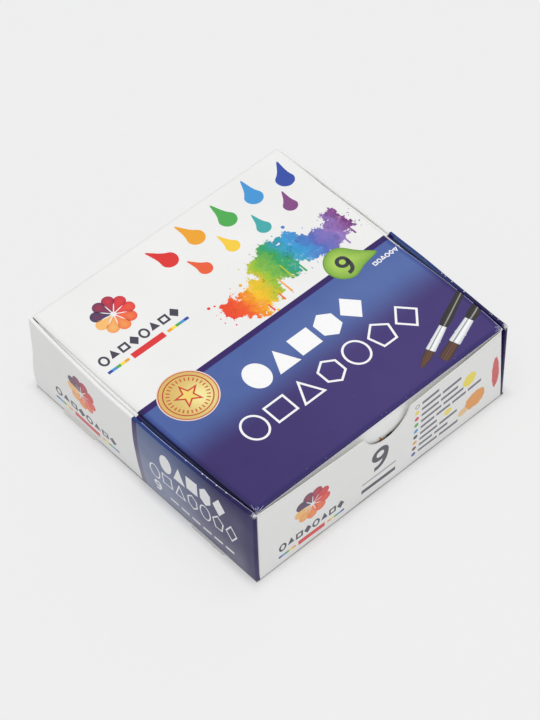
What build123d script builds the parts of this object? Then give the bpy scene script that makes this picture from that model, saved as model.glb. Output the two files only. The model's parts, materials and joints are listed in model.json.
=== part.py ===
from build123d import *
import math
import os

# A shallow folding carton of paint jars: a tray with rolled side walls, a hinged lid with a
# tuck flap and two ears, and a square grid of screw-capped jars that the tray is sized around.
# Millimetres. +X is right along the front, +Y goes back, +Z is up, and the origin is the
# middle of the base panel's underside.

# Jars
cap_diameter = 37.8
cap_height = 9.3
cap_wall = 1.3
cap_top = 1.3
cap_overhang = 0.8        # how far a cap stands out past its jar
cap_seat_gap = 0.15       # cap skirt to the jar's shoulder
seal_gap = 0.05           # jar rim to the cap's ceiling
plug_wall = 0.9
plug_depth = 1.8
plug_clearance = 0.15     # plug ring to the jar's mouth
cap_dish_depth = 0.4
cap_rim_width = 2.6
jar_height = 35.4         # foot to the top of the cap
jar_wall = 1.1
jar_floor = 1.2
foot_width = 2.2
foot_recess = 0.5
shoulder_drop = 1.4
thread_depth = 0.65
thread_clearance = 0.25   # thread ridge to the cap's skirt
thread_ridges = 2
thread_pitch = 2.6
paint_drop = 3.1          # jar's shoulder to the paint's surface
paint_clearance = 0.05    # paint to the jar's wall and floor
label_thickness = 0.12
label_glue = 0.06
label_lift = 4.6          # jar foot to the label's lower edge
label_drop = 2.95         # jar's straight wall to the label's upper edge
label_slit = 1.0
jars_across = 3
jar_gap = 0.4             # between two caps in the grid

# Carton
board = 0.45              # thickness of the board
layer_gap = 0.1           # between two layers of board that lie together
crease_gap = 0.1          # a crease's rounded back to the panel that turns on it
headroom = 2.5            # caps to the lid's underside
side_room = 0.4           # caps to the ears' lower edges
front_room = 0.35         # caps to the tuck flap's lower edge
rear_room = 1.5           # caps to the back wall
left_bow = 2.8            # how far the left side wall bulges
right_bow = 1.6
front_bow = 2.0
back_bow = 0.9
side_wave = 0.6           # share of a half wave that the bulge makes up a side wall's height
front_wave = 0.5          # share of a half wave that the bulge makes up the front wall's height
back_wave = 0.98          # share of a half wave that the bulge makes up the back wall's height
front_wall_drop = 0.45    # lid's top to the front wall's top edge
notch_width = 21.3        # thumb notch
notch_depth = 8.8
notch_corner = 1.2
corner_flap_length = 30.0
corner_flap_taper = 5.0
corner_flap_drop = 1.2
lock_tab_length = 19.5
lock_tab_taper = 1.4
lock_tab_reach = 1.3      # how far a lock tab pokes out of the side
lock_tab_spacing = 70.0   # between the middles of a wall's two lock tabs
slot_gap = 0.15           # lock tab to its slot

# Lid
tuck_flap_depth = 17.0
tuck_flap_lean = 8.0      # degrees off plumb, towards the jars
tuck_flap_corner = 8.0
tuck_flap_inset = 2.4     # lid's side to the flap's side
flap_clearance = 0.3      # lid's front crease to the front wall
ear_depth = 13.0
ear_lean = 5.0            # degrees off plumb, towards the jars
ear_clearance = 0.3       # lid's side crease to the rolled wall
ear_front_inset = 7.0
ear_rear_inset = 6.0
ear_front_taper = 4.0
ear_rear_taper = 19.0
ear_corner = 3.0

# Jar sizes that follow
cap_radius = cap_diameter / 2
jar_radius = cap_radius - cap_overhang
jar_bore = jar_radius - jar_wall
cap_bore = cap_radius - cap_wall
thread_radius = cap_bore - thread_clearance
neck_radius = thread_radius - thread_depth
mouth_radius = neck_radius - jar_wall
cap_foot = jar_height - cap_height
cap_ceiling = jar_height - cap_top
shoulder = cap_foot - cap_seat_gap
rim = cap_ceiling - seal_gap
paint_depth = shoulder - paint_drop - jar_floor - paint_clearance
label_height = shoulder - shoulder_drop - label_drop - label_lift
label_radius = jar_radius + label_glue + label_thickness
jar_pitch = 2 * max(cap_radius, label_radius) + jar_gap
grid_half = (jars_across * jar_pitch - jar_gap) / 2

# Carton sizes that follow
roll_width = 3 * board + 2 * layer_gap
ear_overhang = ear_depth * math.sin(math.radians(ear_lean)) + board
flap_overhang = tuck_flap_depth * math.sin(math.radians(tuck_flap_lean)) + board
half_width = grid_half + side_room + ear_overhang + ear_clearance + roll_width
front_depth = front_room + flap_overhang + flap_clearance + board
half_depth = grid_half + (front_depth + rear_room + board) / 2
grid_middle_y = half_depth - board - rear_room - grid_half
box_height = board + jar_height + headroom + board
lid_half = half_width - roll_width - ear_clearance
crease = board / 2
crease_z = box_height - crease
hinge_y = half_depth - crease
front_crease_y = -half_depth + board + flap_clearance + crease
side_crease_x = lid_half - crease
end_wall_half = half_width - board - layer_gap
front_wall_top = box_height - front_wall_drop
back_wall_top = crease_z - crease - crease_gap


def bulge(height, bow, wave):
    """How far a wall stands out at a height above the floor."""
    return bow * math.sin(math.pi * wave * height / box_height)


def bowed_board(reach, half_length, near, far, low, high, bow, wave, levels=5):
    """A bowed slab that faces -Y, from inset near to inset far behind the wall's outer face."""
    sections = []
    for level in range(levels):
        z = low + (high - low) * level / (levels - 1)
        out = 2 * bulge(z, bow, wave)
        front = -reach + near
        back = -reach + far
        outer = Bezier((-half_length, front, z), (0, front - out, z), (half_length, front, z))
        inner = Bezier((half_length, back, z), (0, back - out, z), (-half_length, back, z))
        right = Line((half_length, front, z), (half_length, back, z))
        left = Line((-half_length, back, z), (-half_length, front, z))
        sections.append(make_face([outer, right, inner, left]))
    return Solid.make_loft([section.face().outer_wire() for section in sections])


def turned(solid, quarter_turns):
    """Turn a wall that faces -Y about Z: 1 for the right side, 2 for the back, 3 for the left."""
    return Rot(0, 0, 90 * quarter_turns) * solid


def prism_along_y(points, start, length):
    """A prism of an outline in X and Z, from y = start on."""
    outline = make_face(Polyline(*[(x, start, z) for x, z in points], close=True))
    return extrude(outline, amount=length, dir=(0, 1, 0))


def lock_tab(middle, spare=0.0):
    """A lock tab of a wall that faces -Y, bent flat at the floor, grown all round by spare."""
    root = lock_tab_length / 2 + spare
    tip = root - lock_tab_taper
    back = -half_width + roll_width + spare
    front = -half_width - lock_tab_reach - spare
    knee = -half_width
    points = [
        (middle - root, back),
        (middle - root, knee),
        (middle - tip, front),
        (middle + tip, front),
        (middle + root, knee),
        (middle + root, back),
    ]
    return extrude(make_face(Polyline(*points, close=True)), amount=board)


def tab_middles():
    """Where the two lock tabs of a side wall lie along it."""
    return (-lock_tab_spacing / 2, lock_tab_spacing / 2)


def base_panel():
    """The floor of the tray, slotted at its sides for the lock tabs."""
    panel = Pos(0, 0, board / 2) * Box(2 * half_width, 2 * half_depth, board)
    for quarter_turns in (1, 3):
        for middle in tab_middles():
            panel -= turned(lock_tab(middle, slot_gap), quarter_turns)
    return panel


def front_wall():
    """The front wall with its thumb notch."""
    wall = bowed_board(half_depth, end_wall_half, 0, board, board, front_wall_top, front_bow, front_wave)
    half = notch_width / 2
    radius = (half ** 2 + notch_depth ** 2) / (2 * notch_depth)
    notch_z = front_wall_top - notch_depth + radius
    reach = front_bow + 2 * board
    wall = wall - Pos(0, -half_depth, notch_z) * Rot(90, 0, 0) * Cylinder(radius, 2 * reach)
    lip = notch_corner
    for side in (-1, 1):
        easing = [
            (side * (half - lip / 2), front_wall_top + lip),
            (side * (half + lip), front_wall_top + lip),
            (side * (half + lip), front_wall_top),
            (side * (half + lip / 4), front_wall_top - lip / 3),
            (side * (half - lip / 2), front_wall_top - lip),
        ]
        wall = wall - prism_along_y(easing, -half_depth - reach, 2 * reach)
    return wall


def back_wall():
    """The back wall, straight at its foot and at the lid's crease."""
    wall = bowed_board(half_depth, end_wall_half, 0, board, board, back_wall_top, back_bow, back_wave)
    return turned(wall, 2)


def outer_wall(quarter_turns, bow):
    """A side's outer wall with the ledge of the roll along its top."""
    wall = bowed_board(half_width, half_depth, 0, board, board, box_height, bow, side_wave)
    ledge_foot = box_height - board
    near = board / 2
    ledge = bowed_board(half_width, half_depth, near, roll_width, ledge_foot, box_height, bow, side_wave)
    return turned(wall + ledge, quarter_turns)


def inner_wall(quarter_turns, bow):
    """A side's inner wall, hanging from the ledge, with the lock tabs at its foot."""
    length = half_depth - board - layer_gap
    top = box_height - board
    near = roll_width - board
    wall = bowed_board(half_width, length, near, roll_width, board, top, bow, side_wave)
    for middle in tab_middles():
        wall = wall + lock_tab(middle)
    return turned(wall, quarter_turns)


def corner_flap(quarter_turns, end, bow):
    """A flap of the front or back wall, folded back between a side's outer and inner wall."""
    near = board + layer_gap
    low = board + layer_gap
    high = box_height - board - layer_gap
    slab = bowed_board(half_width, half_depth, near, near + board, low, high, bow, side_wave)
    fold = half_depth - board
    top = high - corner_flap_drop
    points = [
        (end * fold, low),
        (end * fold, top),
        (end * (fold - corner_flap_length), top - corner_flap_taper),
        (end * (fold - corner_flap_length), low + corner_flap_taper),
        (end * (fold - corner_flap_taper), low),
    ]
    reach = bow + roll_width
    trim = prism_along_y(points, -half_width - reach, 3 * reach)
    return turned(slab & trim, quarter_turns)


def lid_panel():
    """The lid's flat panel, with a rounded back along each of its four creases."""
    depth = hinge_y - front_crease_y
    middle_y = (hinge_y + front_crease_y) / 2
    panel = Pos(0, middle_y, crease_z) * Box(2 * side_crease_x, depth, board)
    for y in (front_crease_y, hinge_y):
        panel += Pos(0, y, crease_z) * Rot(0, 90, 0) * Cylinder(crease, 2 * side_crease_x)
    for side in (-1, 1):
        panel += Pos(side * side_crease_x, middle_y, crease_z) * Rot(90, 0, 0) * Cylinder(crease, depth)
    return panel


def hanging_plate(points, corners):
    """A plate in the X-Z plane that hangs below a crease on the X axis, its low corners rounded."""
    outline = make_face(Polyline(*[(x, -z) for x, z in points], close=True))
    lowest = sorted(outline.vertices(), key=lambda vertex: vertex.Y)[:2]
    outline = fillet(lowest, corners)
    return Pos(0, board / 2, 0) * Rot(90, 0, 0) * extrude(outline, amount=board)


def tuck_flap():
    """The flap along the lid's front edge, tucked in behind the front wall."""
    root = lid_half - tuck_flap_inset
    tip = root - tuck_flap_inset
    top = crease + crease_gap
    points = [(-root, top), (root, top), (tip, tuck_flap_depth), (-tip, tuck_flap_depth)]
    plate = hanging_plate(points, tuck_flap_corner)
    return Pos(0, front_crease_y, crease_z) * Rot(tuck_flap_lean, 0, 0) * plate


def ear(side):
    """A flap along one side of the lid, tucked in beside the jars."""
    front = front_crease_y + ear_front_inset
    rear = hinge_y - ear_rear_inset
    top = crease + crease_gap
    points = [(front, top), (rear, top), (rear - ear_rear_taper, ear_depth), (front + ear_front_taper, ear_depth)]
    plate = hanging_plate(points, ear_corner)
    return Pos(side * side_crease_x, 0, crease_z) * Rot(0, side * ear_lean, 0) * Rot(0, 0, 90) * plate


def jar():
    """A jar with a footed floor and thread ridges on its neck."""
    outer = [(0, foot_recess), (jar_radius - foot_width - foot_recess, foot_recess)]
    outer += [(jar_radius - foot_width, 0), (jar_radius - foot_recess, 0), (jar_radius, foot_recess)]
    outer += [(jar_radius, shoulder - shoulder_drop), (neck_radius, shoulder)]
    for ridge in range(thread_ridges):
        z = shoulder + thread_pitch * (ridge + 0.5)
        outer += [(neck_radius, z), (thread_radius, z + thread_depth), (neck_radius, z + 2 * thread_depth)]
    outer += [(neck_radius, rim), (mouth_radius, rim)]
    inner = [(mouth_radius, shoulder - jar_wall), (jar_bore, shoulder - shoulder_drop - jar_wall)]
    inner += [(jar_bore, 2 * jar_floor), (jar_bore - jar_floor, jar_floor), (0, jar_floor)]
    return revolve(make_face(Polyline(*[(r, 0, z) for r, z in outer + inner], close=True)), Axis.Z)


def cap():
    """A screw cap with a dished top, a skirt and a plug ring that seals the jar's mouth."""
    plug_radius = mouth_radius - plug_clearance
    edge = cap_top / 2
    dish = cap_radius - cap_rim_width
    points = [(0, jar_height - cap_dish_depth), (dish - cap_dish_depth, jar_height - cap_dish_depth)]
    points += [(dish, jar_height), (cap_radius - edge, jar_height), (cap_radius, jar_height - edge)]
    points += [(cap_radius, cap_foot), (cap_bore, cap_foot), (cap_bore, cap_ceiling)]
    points += [(plug_radius, cap_ceiling), (plug_radius, cap_ceiling - plug_depth)]
    points += [(plug_radius - plug_wall, cap_ceiling - plug_depth), (plug_radius - plug_wall, cap_ceiling)]
    points += [(0, cap_ceiling)]
    return revolve(make_face(Polyline(*[(r, 0, z) for r, z in points], close=True)), Axis.Z)


def paint():
    """The paint that fills a jar, as a closed body with the floor's rounding."""
    radius = jar_bore - paint_clearance
    low = jar_floor + paint_clearance
    points = [(0, low), (radius - jar_floor, low), (radius, low + jar_floor), (radius, low + paint_depth)]
    points += [(0, low + paint_depth)]
    return revolve(make_face(Polyline(*[(r, 0, z) for r, z in points], close=True)), Axis.Z)


def label():
    """A paper label wrapped round a jar, its ends just short of meeting at the back."""
    inside = jar_radius + label_glue
    sleeve = Cylinder(label_radius, label_height) - Cylinder(inside, label_height)
    sleeve -= Pos(0, jar_radius, 0) * Box(label_slit, jar_radius, label_height)
    return Pos(0, 0, label_lift + label_height / 2) * sleeve


def jar_places():
    """The middle of each jar's foot, counted from the back left, row by row."""
    middle = (jars_across - 1) / 2
    for row in range(jars_across):
        for column in range(jars_across):
            x = (column - middle) * jar_pitch
            y = grid_middle_y + (middle - row) * jar_pitch
            yield Pos(x, y, board)


def carton_nodes():
    """The carton's panels by name."""
    nodes = {
        "base_panel": base_panel(),
        "front_wall": front_wall(),
        "back_wall": back_wall(),
        "lid_panel": lid_panel(),
        "tuck_flap": tuck_flap(),
    }
    for name, side, quarter_turns, bow in (("left", -1, 3, left_bow), ("right", 1, 1, right_bow)):
        nodes[f"{name}_outer_wall"] = outer_wall(quarter_turns, bow)
        nodes[f"{name}_inner_wall"] = inner_wall(quarter_turns, bow)
        nodes[f"front_{name}_corner_flap"] = corner_flap(quarter_turns, -side, bow)
        nodes[f"back_{name}_corner_flap"] = corner_flap(quarter_turns, side, bow)
        nodes[f"{name}_ear"] = ear(side)
    return nodes


def jar_nodes():
    """Each jar's four pieces by name."""
    pieces = {"body": jar(), "cap": cap(), "paint": paint(), "label": label()}
    nodes = {}
    for number, place in enumerate(jar_places(), start=1):
        for name, piece in pieces.items():
            nodes[f"jar_{number}_{name}"] = place * piece
    return nodes


os.makedirs("parts", exist_ok=True)
print(f"outside {2 * half_width:.2f} x {2 * half_depth:.2f} x {box_height:.2f}")
print(f"hinge y {hinge_y:.3f} z {crease_z:.3f}, front crease y {front_crease_y:.3f}")
print(f"side crease x {side_crease_x:.3f}, jar pitch {jar_pitch:.3f}, grid y {grid_middle_y:.3f}")
for node, shape in {**carton_nodes(), **jar_nodes()}.items():
    export_step(shape, f"parts/{node}.step")
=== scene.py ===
"""A gouache paint box: a printed folding carton, its hinged lid shut over nine screw-capped jars.

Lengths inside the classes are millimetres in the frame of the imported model, and become metres
when a mesh is made.
"""

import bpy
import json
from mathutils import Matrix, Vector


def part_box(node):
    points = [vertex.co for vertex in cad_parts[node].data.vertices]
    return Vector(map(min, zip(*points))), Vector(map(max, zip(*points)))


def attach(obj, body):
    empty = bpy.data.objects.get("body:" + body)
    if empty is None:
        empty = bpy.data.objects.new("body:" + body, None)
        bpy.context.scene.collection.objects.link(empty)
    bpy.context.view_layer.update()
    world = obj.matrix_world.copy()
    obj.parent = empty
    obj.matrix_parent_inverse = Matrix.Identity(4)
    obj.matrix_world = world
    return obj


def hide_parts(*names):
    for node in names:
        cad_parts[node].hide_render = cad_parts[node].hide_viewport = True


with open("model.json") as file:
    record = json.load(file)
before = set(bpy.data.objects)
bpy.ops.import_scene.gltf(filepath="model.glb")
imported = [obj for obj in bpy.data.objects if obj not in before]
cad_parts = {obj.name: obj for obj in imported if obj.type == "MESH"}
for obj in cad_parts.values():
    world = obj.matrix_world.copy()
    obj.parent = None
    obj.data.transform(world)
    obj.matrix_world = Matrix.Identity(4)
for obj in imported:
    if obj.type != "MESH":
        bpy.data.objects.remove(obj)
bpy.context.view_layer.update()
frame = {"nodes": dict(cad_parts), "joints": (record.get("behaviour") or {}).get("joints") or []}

import json
import logging
import math
import random
from dataclasses import dataclass, field
from enum import Enum
from functools import cached_property, reduce
from typing import Callable, Iterable, Optional, Sequence, Union

import bmesh
import bpy
from mathutils import Matrix, Vector

log = logging.getLogger("paint_box")

Point = tuple[float, float]
Colour = tuple[float, float, float]
Place = Callable[[float, float, float], Vector]
Material = bpy.types.Material


def ink(red: int, green: int, blue: int) -> Colour:
    """Turn a printed colour, 0 to 255 each, into Blender's linear light."""
    shares = [value / 255 for value in (red, green, blue)]
    return tuple(s / 12.92 if s <= 0.04045 else ((s + 0.055) / 1.055) ** 2.4 for s in shares)


MM = 0.001
CREASE_ANGLE = math.radians(32)
BOARD_STEP = 3.0
FLAP_STEP = 4.0
WALL_STEP = 2.6
FLAP_ROOT = 0.5
ROOT_DROP = 0.28
WHITE_COAT = ink(240, 240, 239)
# Each pair holds an ink at the left and a lighter one at the right: the lightening is a painted sheen of the
# varnish.
LID_INKS = ((ink(78, 101, 163), ink(88, 110, 169)), (ink(59, 46, 105), ink(70, 57, 117)))
# The walls' blue is paler and greyer than the lid's, and the right wall's inks are lighter than the left's:
# both are painted sheen.
WALL_INKS = ((ink(95, 111, 152), ink(104, 119, 162)), (ink(24, 12, 86), ink(32, 20, 94)))
# The ears' inks are far darker than the lid's: painted shade for the slot that the ears hang in.
SHADED_EAR_INKS = ((ink(36, 46, 84),) * 2, (ink(28, 22, 52),) * 2)
LEDGE_INKS = (ink(41, 64, 124), ink(33, 29, 76))
INDIGO = ink(52, 32, 98)
SLATE = ink(58, 56, 74)
PURE_WHITE = ink(250, 250, 250)
BAR_RED = ink(222, 40, 44)


class Paint(Enum):
    """The nine paints, in the order of the jars."""

    WHITE = ("white", ink(244, 243, 238))
    LIGHT_YELLOW = ("light_yellow", ink(250, 222, 60))
    SCARLET = ("scarlet", ink(222, 40, 36))
    LIGHT_GREEN = ("light_green", ink(70, 170, 75))
    LIGHT_BLUE = ("light_blue", ink(60, 150, 215))
    BLACK = ("black", ink(34, 33, 37))
    DARK_YELLOW = ("dark_yellow", ink(240, 165, 30))
    BROWN = ("brown", ink(110, 62, 36))
    DARK_BLUE = ("dark_blue", ink(38, 70, 165))

    @property
    def word(self) -> str:
        """The paint's name in the record's material slots."""
        return self.value[0]

    @property
    def colour(self) -> Colour:
        """The paint's linear colour."""
        return self.value[1]


class Side(Enum):
    """What a face of a board shows."""

    PRINTED = 0
    PLAIN = 1
    CUT = 2


class Ground(Enum):
    """Which background a panel of the carton is printed with."""

    LID = "lid"
    SIDE = "side"
    FRONT = "front"
    BLANK = "blank"


# Shader sums


class Wire:
    """An output socket that takes part in Python sums, each of which adds a Math node."""

    def __init__(self, graph: "Graph", socket: bpy.types.NodeSocket) -> None:
        """Wrap a socket of one graph."""
        self.graph = graph
        self.socket = socket

    def _sum(self, operation: str, *values: "Value") -> "Wire":
        """Add a Math node."""
        return self.graph.node("ShaderNodeMath", {"operation": operation}, dict(enumerate(values)))

    def __add__(self, other: "Value") -> "Wire":
        """self + other."""
        return self._sum("ADD", self, other)

    def __radd__(self, other: float) -> "Wire":
        """other + self."""
        return self._sum("ADD", other, self)

    def __sub__(self, other: "Value") -> "Wire":
        """self - other."""
        return self._sum("SUBTRACT", self, other)

    def __rsub__(self, other: float) -> "Wire":
        """other - self."""
        return self._sum("SUBTRACT", other, self)

    def __mul__(self, other: "Value") -> "Wire":
        """self * other."""
        return self._sum("MULTIPLY", self, other)

    def __rmul__(self, other: float) -> "Wire":
        """other * self."""
        return self._sum("MULTIPLY", other, self)

    def __abs__(self) -> "Wire":
        """The value without its sign."""
        return self._sum("ABSOLUTE", self)

    def least(self, other: "Value") -> "Wire":
        """The lower of two values."""
        return self._sum("MINIMUM", self, other)

    def most(self, other: "Value") -> "Wire":
        """The higher of two values."""
        return self._sum("MAXIMUM", self, other)

    def root(self) -> "Wire":
        """The square root of a value."""
        return self._sum("SQRT", self)

    def ramp(self, low: float, high: float) -> "Wire":
        """A smooth mask.

        Args:
            low: The value where the mask is 0.
            high: The value where it is 1, which may be the lower one.

        Returns:
            The mask, 0 to 1.
        """
        settings = {"interpolation_type": "SMOOTHSTEP"}
        values = {0: self, 1: min(low, high), 2: max(low, high)}
        mask = self.graph.node("ShaderNodeMapRange", settings, values)
        return 1 - mask if low > high else mask


Value = Union[Wire, float, Sequence[float]]


class Graph:
    """The node tree of a material, or of the sky."""

    def __init__(self, name: str, sky: bool = False) -> None:
        """Start an empty tree.

        Args:
            name: The name of the material or the sky.
            sky: Whether the tree is the sky's.
        """
        self.owner = (bpy.data.worlds if sky else bpy.data.materials).new(name)
        self.end = "ShaderNodeOutputWorld" if sky else "ShaderNodeOutputMaterial"
        self.owner.use_nodes = True
        self.tree = self.owner.node_tree
        self.tree.nodes.clear()

    def make(self, kind: str, settings: Optional[dict] = None, values: Optional[dict] = None) -> list[Wire]:
        """Add a node.

        Args:
            kind: The node's type.
            settings: Its properties, set first; stops are a colour ramp's places and colours.
            values: Numbers, colours or wires by socket index or name.

        Returns:
            The wires that leave the node.
        """
        made = self.tree.nodes.new(kind)
        for name, value in (settings or {}).items():
            if name == "stops":
                self._set_stops(made.color_ramp, value)
            else:
                setattr(made, name, value)
        for key, value in (values or {}).items():
            self._feed(made.inputs[key], value)
        return [Wire(self, socket) for socket in made.outputs]

    def node(
        self, kind: str, settings: Optional[dict] = None, values: Optional[dict] = None, output: int = 0,
    ) -> Wire:
        """Add a node and take the one wire that is wanted of it."""
        return self.make(kind, settings, values)[output]

    def _feed(self, socket: bpy.types.NodeSocket, value: Value) -> None:
        """Link a wire to a socket, or set the socket's own value.

        Args:
            socket: An input of one of the tree's nodes.
            value: The wire, number, colour or vector.
        """
        if isinstance(value, Wire):
            self.tree.links.new(value.socket, socket)
        elif isinstance(value, (tuple, list)) and socket.type == "RGBA":
            socket.default_value = (*value[:3], 1)
        else:
            socket.default_value = value

    @staticmethod
    def _set_stops(ramp: bpy.types.ColorRamp, stops: Sequence[tuple[float, Colour]]) -> None:
        """Set up a colour ramp.

        Args:
            ramp: The ramp, which has two stops to start with.
            stops: The places and colours that it gets.
        """
        while len(ramp.elements) < len(stops):
            ramp.elements.new(1)
        for element, (place, colour) in zip(ramp.elements, stops):
            element.position = place
            element.color = (*colour, 1)

    def mix(self, under: Value, over: Value, mask: Value, blend: str = "MIX") -> Wire:
        """Lay one colour over another where the mask is 1, in one of Blender's ways of mixing."""
        settings = {"data_type": "RGBA", "blend_type": blend}
        return self.node("ShaderNodeMix", settings, {0: mask, 6: under, 7: over}, 2)

    def vector(self, operation: str, *values: Value, output: int = 0) -> Wire:
        """Add a Vector Math node, whose second output is a number."""
        return self.node("ShaderNodeVectorMath", {"operation": operation}, dict(enumerate(values)), output)

    def split(self, vector: Wire) -> list[Wire]:
        """Split a vector or a colour into its three parts."""
        return self.make("ShaderNodeSeparateXYZ", None, {0: vector})

    @cached_property
    def point(self) -> Wire:
        """The point of the surface in its object's own millimetres."""
        metres = self.node("ShaderNodeTexCoord", output=3)
        return self.node("ShaderNodeVectorMath", {"operation": "SCALE"}, {0: metres, 3: 1 / MM})

    @cached_property
    def axes(self) -> list[Wire]:
        """The point's X, Y and Z."""
        return self.split(self.point)

    @cached_property
    def rays(self) -> dict[str, Wire]:
        """The kinds of ray that Light Path tells apart, by their names."""
        return {wire.socket.name: wire for wire in self.make("ShaderNodeLightPath")}

    def sees_backdrop(self) -> Wire:
        """Whether a ray is the camera's, or a gloss or glass ray that shows the same backdrop."""
        glassy = self.rays["Is Glossy Ray"].most(self.rays["Is Transmission Ray"])
        return self.rays["Is Camera Ray"].most(glassy)

    def noise(
        self, per_mm: float, detail: float = 2.0, rough: float = 0.5, stretch: Sequence[float] = (),
        point: Optional[Wire] = None, output: int = 0,
    ) -> Wire:
        """Soft random variation, from 0 to 1 and about 0.5 on average.

        Args:
            per_mm: Features in a millimetre.
            detail: Finer layers added.
            rough: How strong the finer layers are.
            stretch: Factors on the three axes, where the features aren't round.
            point: Where to look it up, where that isn't the surface's own point.
            output: 0 for a number and 1 for a colour.

        Returns:
            The variation.
        """
        where = point or self.point
        if stretch:
            where = self.vector("MULTIPLY", where, stretch)
        values = {"Vector": where, "Scale": per_mm, "Detail": detail, "Roughness": rough}
        return self.node("ShaderNodeTexNoise", None, values, output)

    def bump(self, height: Wire, millimetres: float, strength: float) -> Wire:
        """Turn a height into a changed normal."""
        values = {"Strength": strength, "Distance": millimetres * MM, "Height": height}
        return self.node("ShaderNodeBump", None, values)

    def close(self, shader: Wire) -> Union[Material, bpy.types.World]:
        """Link a shader to the tree's end, and hand back what the tree belongs to."""
        self.make(self.end, None, {0: shader})
        return self.owner

    def finish(self, colour: Wire, rough: Wire, normal: Wire, fixed: dict[str, float]) -> Material:
        """Close the tree with one Principled shader, whose other sockets keep fixed values."""
        values = {"Base Color": colour, "Roughness": rough, "Normal": normal, **fixed}
        return self.close(self.node("ShaderNodeBsdfPrincipled", None, values))


# Finishes


@dataclass(frozen=True)
class Swell:
    """Shallow bellies along one side of the lid: the reach, middle and half length of each."""

    bellies: tuple[tuple[float, float, float], ...]

    def at(self, y: float) -> float:
        """How far out the side is at a place along it."""
        return sum(reach * max(0.0, 1 - ((y - middle) / half) ** 2) for reach, middle, half in self.bellies)

    def wire(self, y: Wire) -> Wire:
        """The same for a shader."""
        shares = [((y - middle) * (1 / half), reach) for reach, middle, half in self.bellies]
        return sum((1 - share * share).most(0.0) * reach for share, reach in shares)


LEFT_SWELL = Swell(((1.1, 0.0, 60.0),))
RIGHT_SWELL = Swell(((1.1, -32.0, 27.0), (0.7, 40.0, 26.0)))


@dataclass(frozen=True)
class Splash:
    """The wave of paint blots printed on the lid's white half."""

    left: float = -9.0
    right: float = 55.0
    spread: float = 15.0
    blots: tuple[tuple[float, float, float], ...] = (
        (-4.0, 13.0, 5.0), (2.5, 9.5, 6.6), (10.0, 12.5, 7.0), (17.5, 19.0, 7.0), (24.5, 22.5, 6.2),
        (31.5, 20.0, 6.6), (38.0, 15.0, 6.6), (44.5, 13.5, 5.4), (50.5, 18.5, 5.2), (24.0, 13.5, 3.4),
    )
    paints: tuple[Colour, ...] = (
        ink(238, 60, 50), ink(242, 98, 44), ink(250, 196, 44), ink(150, 196, 60), ink(52, 164, 92),
        ink(60, 160, 218), ink(88, 108, 190), ink(150, 120, 190), ink(130, 60, 128),
    )

    def colour(self, graph: Graph, under: Wire) -> Wire:
        """Lay the blots and their speckles over a colour.

        Args:
            graph: The material's tree.
            under: The board's colour.

        Returns:
            The printed colour.
        """
        flat = graph.vector("MULTIPLY", graph.point, (1.0, 1.0, 0.0))
        push = graph.noise(0.21, 5.0, 0.66, point=flat, output=1)
        pushed = graph.vector("MULTIPLY_ADD", push, (self.spread, self.spread, 0.0), flat)
        ragged = graph.vector("SUBTRACT", pushed, (self.spread / 2, self.spread / 2, 0.0))
        near = self._gap(graph, flat)
        specks = self._speckles(graph, flat, near, 0.4, 11.0)
        specks = specks.most(self._speckles(graph, flat, near, 0.85, 7.0))
        along = (graph.split(ragged)[0] - self.left) * (1 / (self.right - self.left))
        last = len(self.paints) - 1
        stops = [(index / last, paint) for index, paint in enumerate(self.paints)]
        paint = graph.node("ShaderNodeValToRGB", {"stops": stops}, {0: along})
        streak = graph.noise(0.33, 4.0, 0.7, (1.0, 0.6, 0.0), ragged)
        darker = graph.mix(paint, (0.6, 0.52, 0.62), streak.ramp(0.52, 0.66) * 0.85, "MULTIPLY")
        lighter = graph.mix(darker, PURE_WHITE, streak.ramp(0.4, 0.28) * 0.55)
        return graph.mix(under, lighter, self._gap(graph, ragged).ramp(0.25, -0.25).most(specks))

    def _gap(self, graph: Graph, point: Wire) -> Wire:
        """How far outside the nearest blot a point is, below 0 inside it."""
        gaps = [graph.vector("DISTANCE", point, (x, y, 0.0), output=1) - r for x, y, r in self.blots]
        return reduce(Wire.least, gaps)

    @staticmethod
    def _speckles(graph: Graph, flat: Wire, near: Wire, per_mm: float, reach: float) -> Wire:
        """Round dots that thin out away from the blots.

        Args:
            graph: The material's tree.
            flat: The point on the panel.
            near: How far outside the nearest blot it is.
            per_mm: Dots in a millimetre.
            reach: Where the last dots are.

        Returns:
            The dots' mask.
        """
        values = {"Vector": flat, "Scale": per_mm, "Randomness": 0.9}
        cell, tint, *_ = graph.make("ShaderNodeTexVoronoi", None, values)
        chance, size, _ = graph.split(tint)
        kept = (chance - near * (1 / reach)).ramp(0.2, 0.24)
        return (cell - size * 0.3).ramp(0.05, 0.0) * kept


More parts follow.
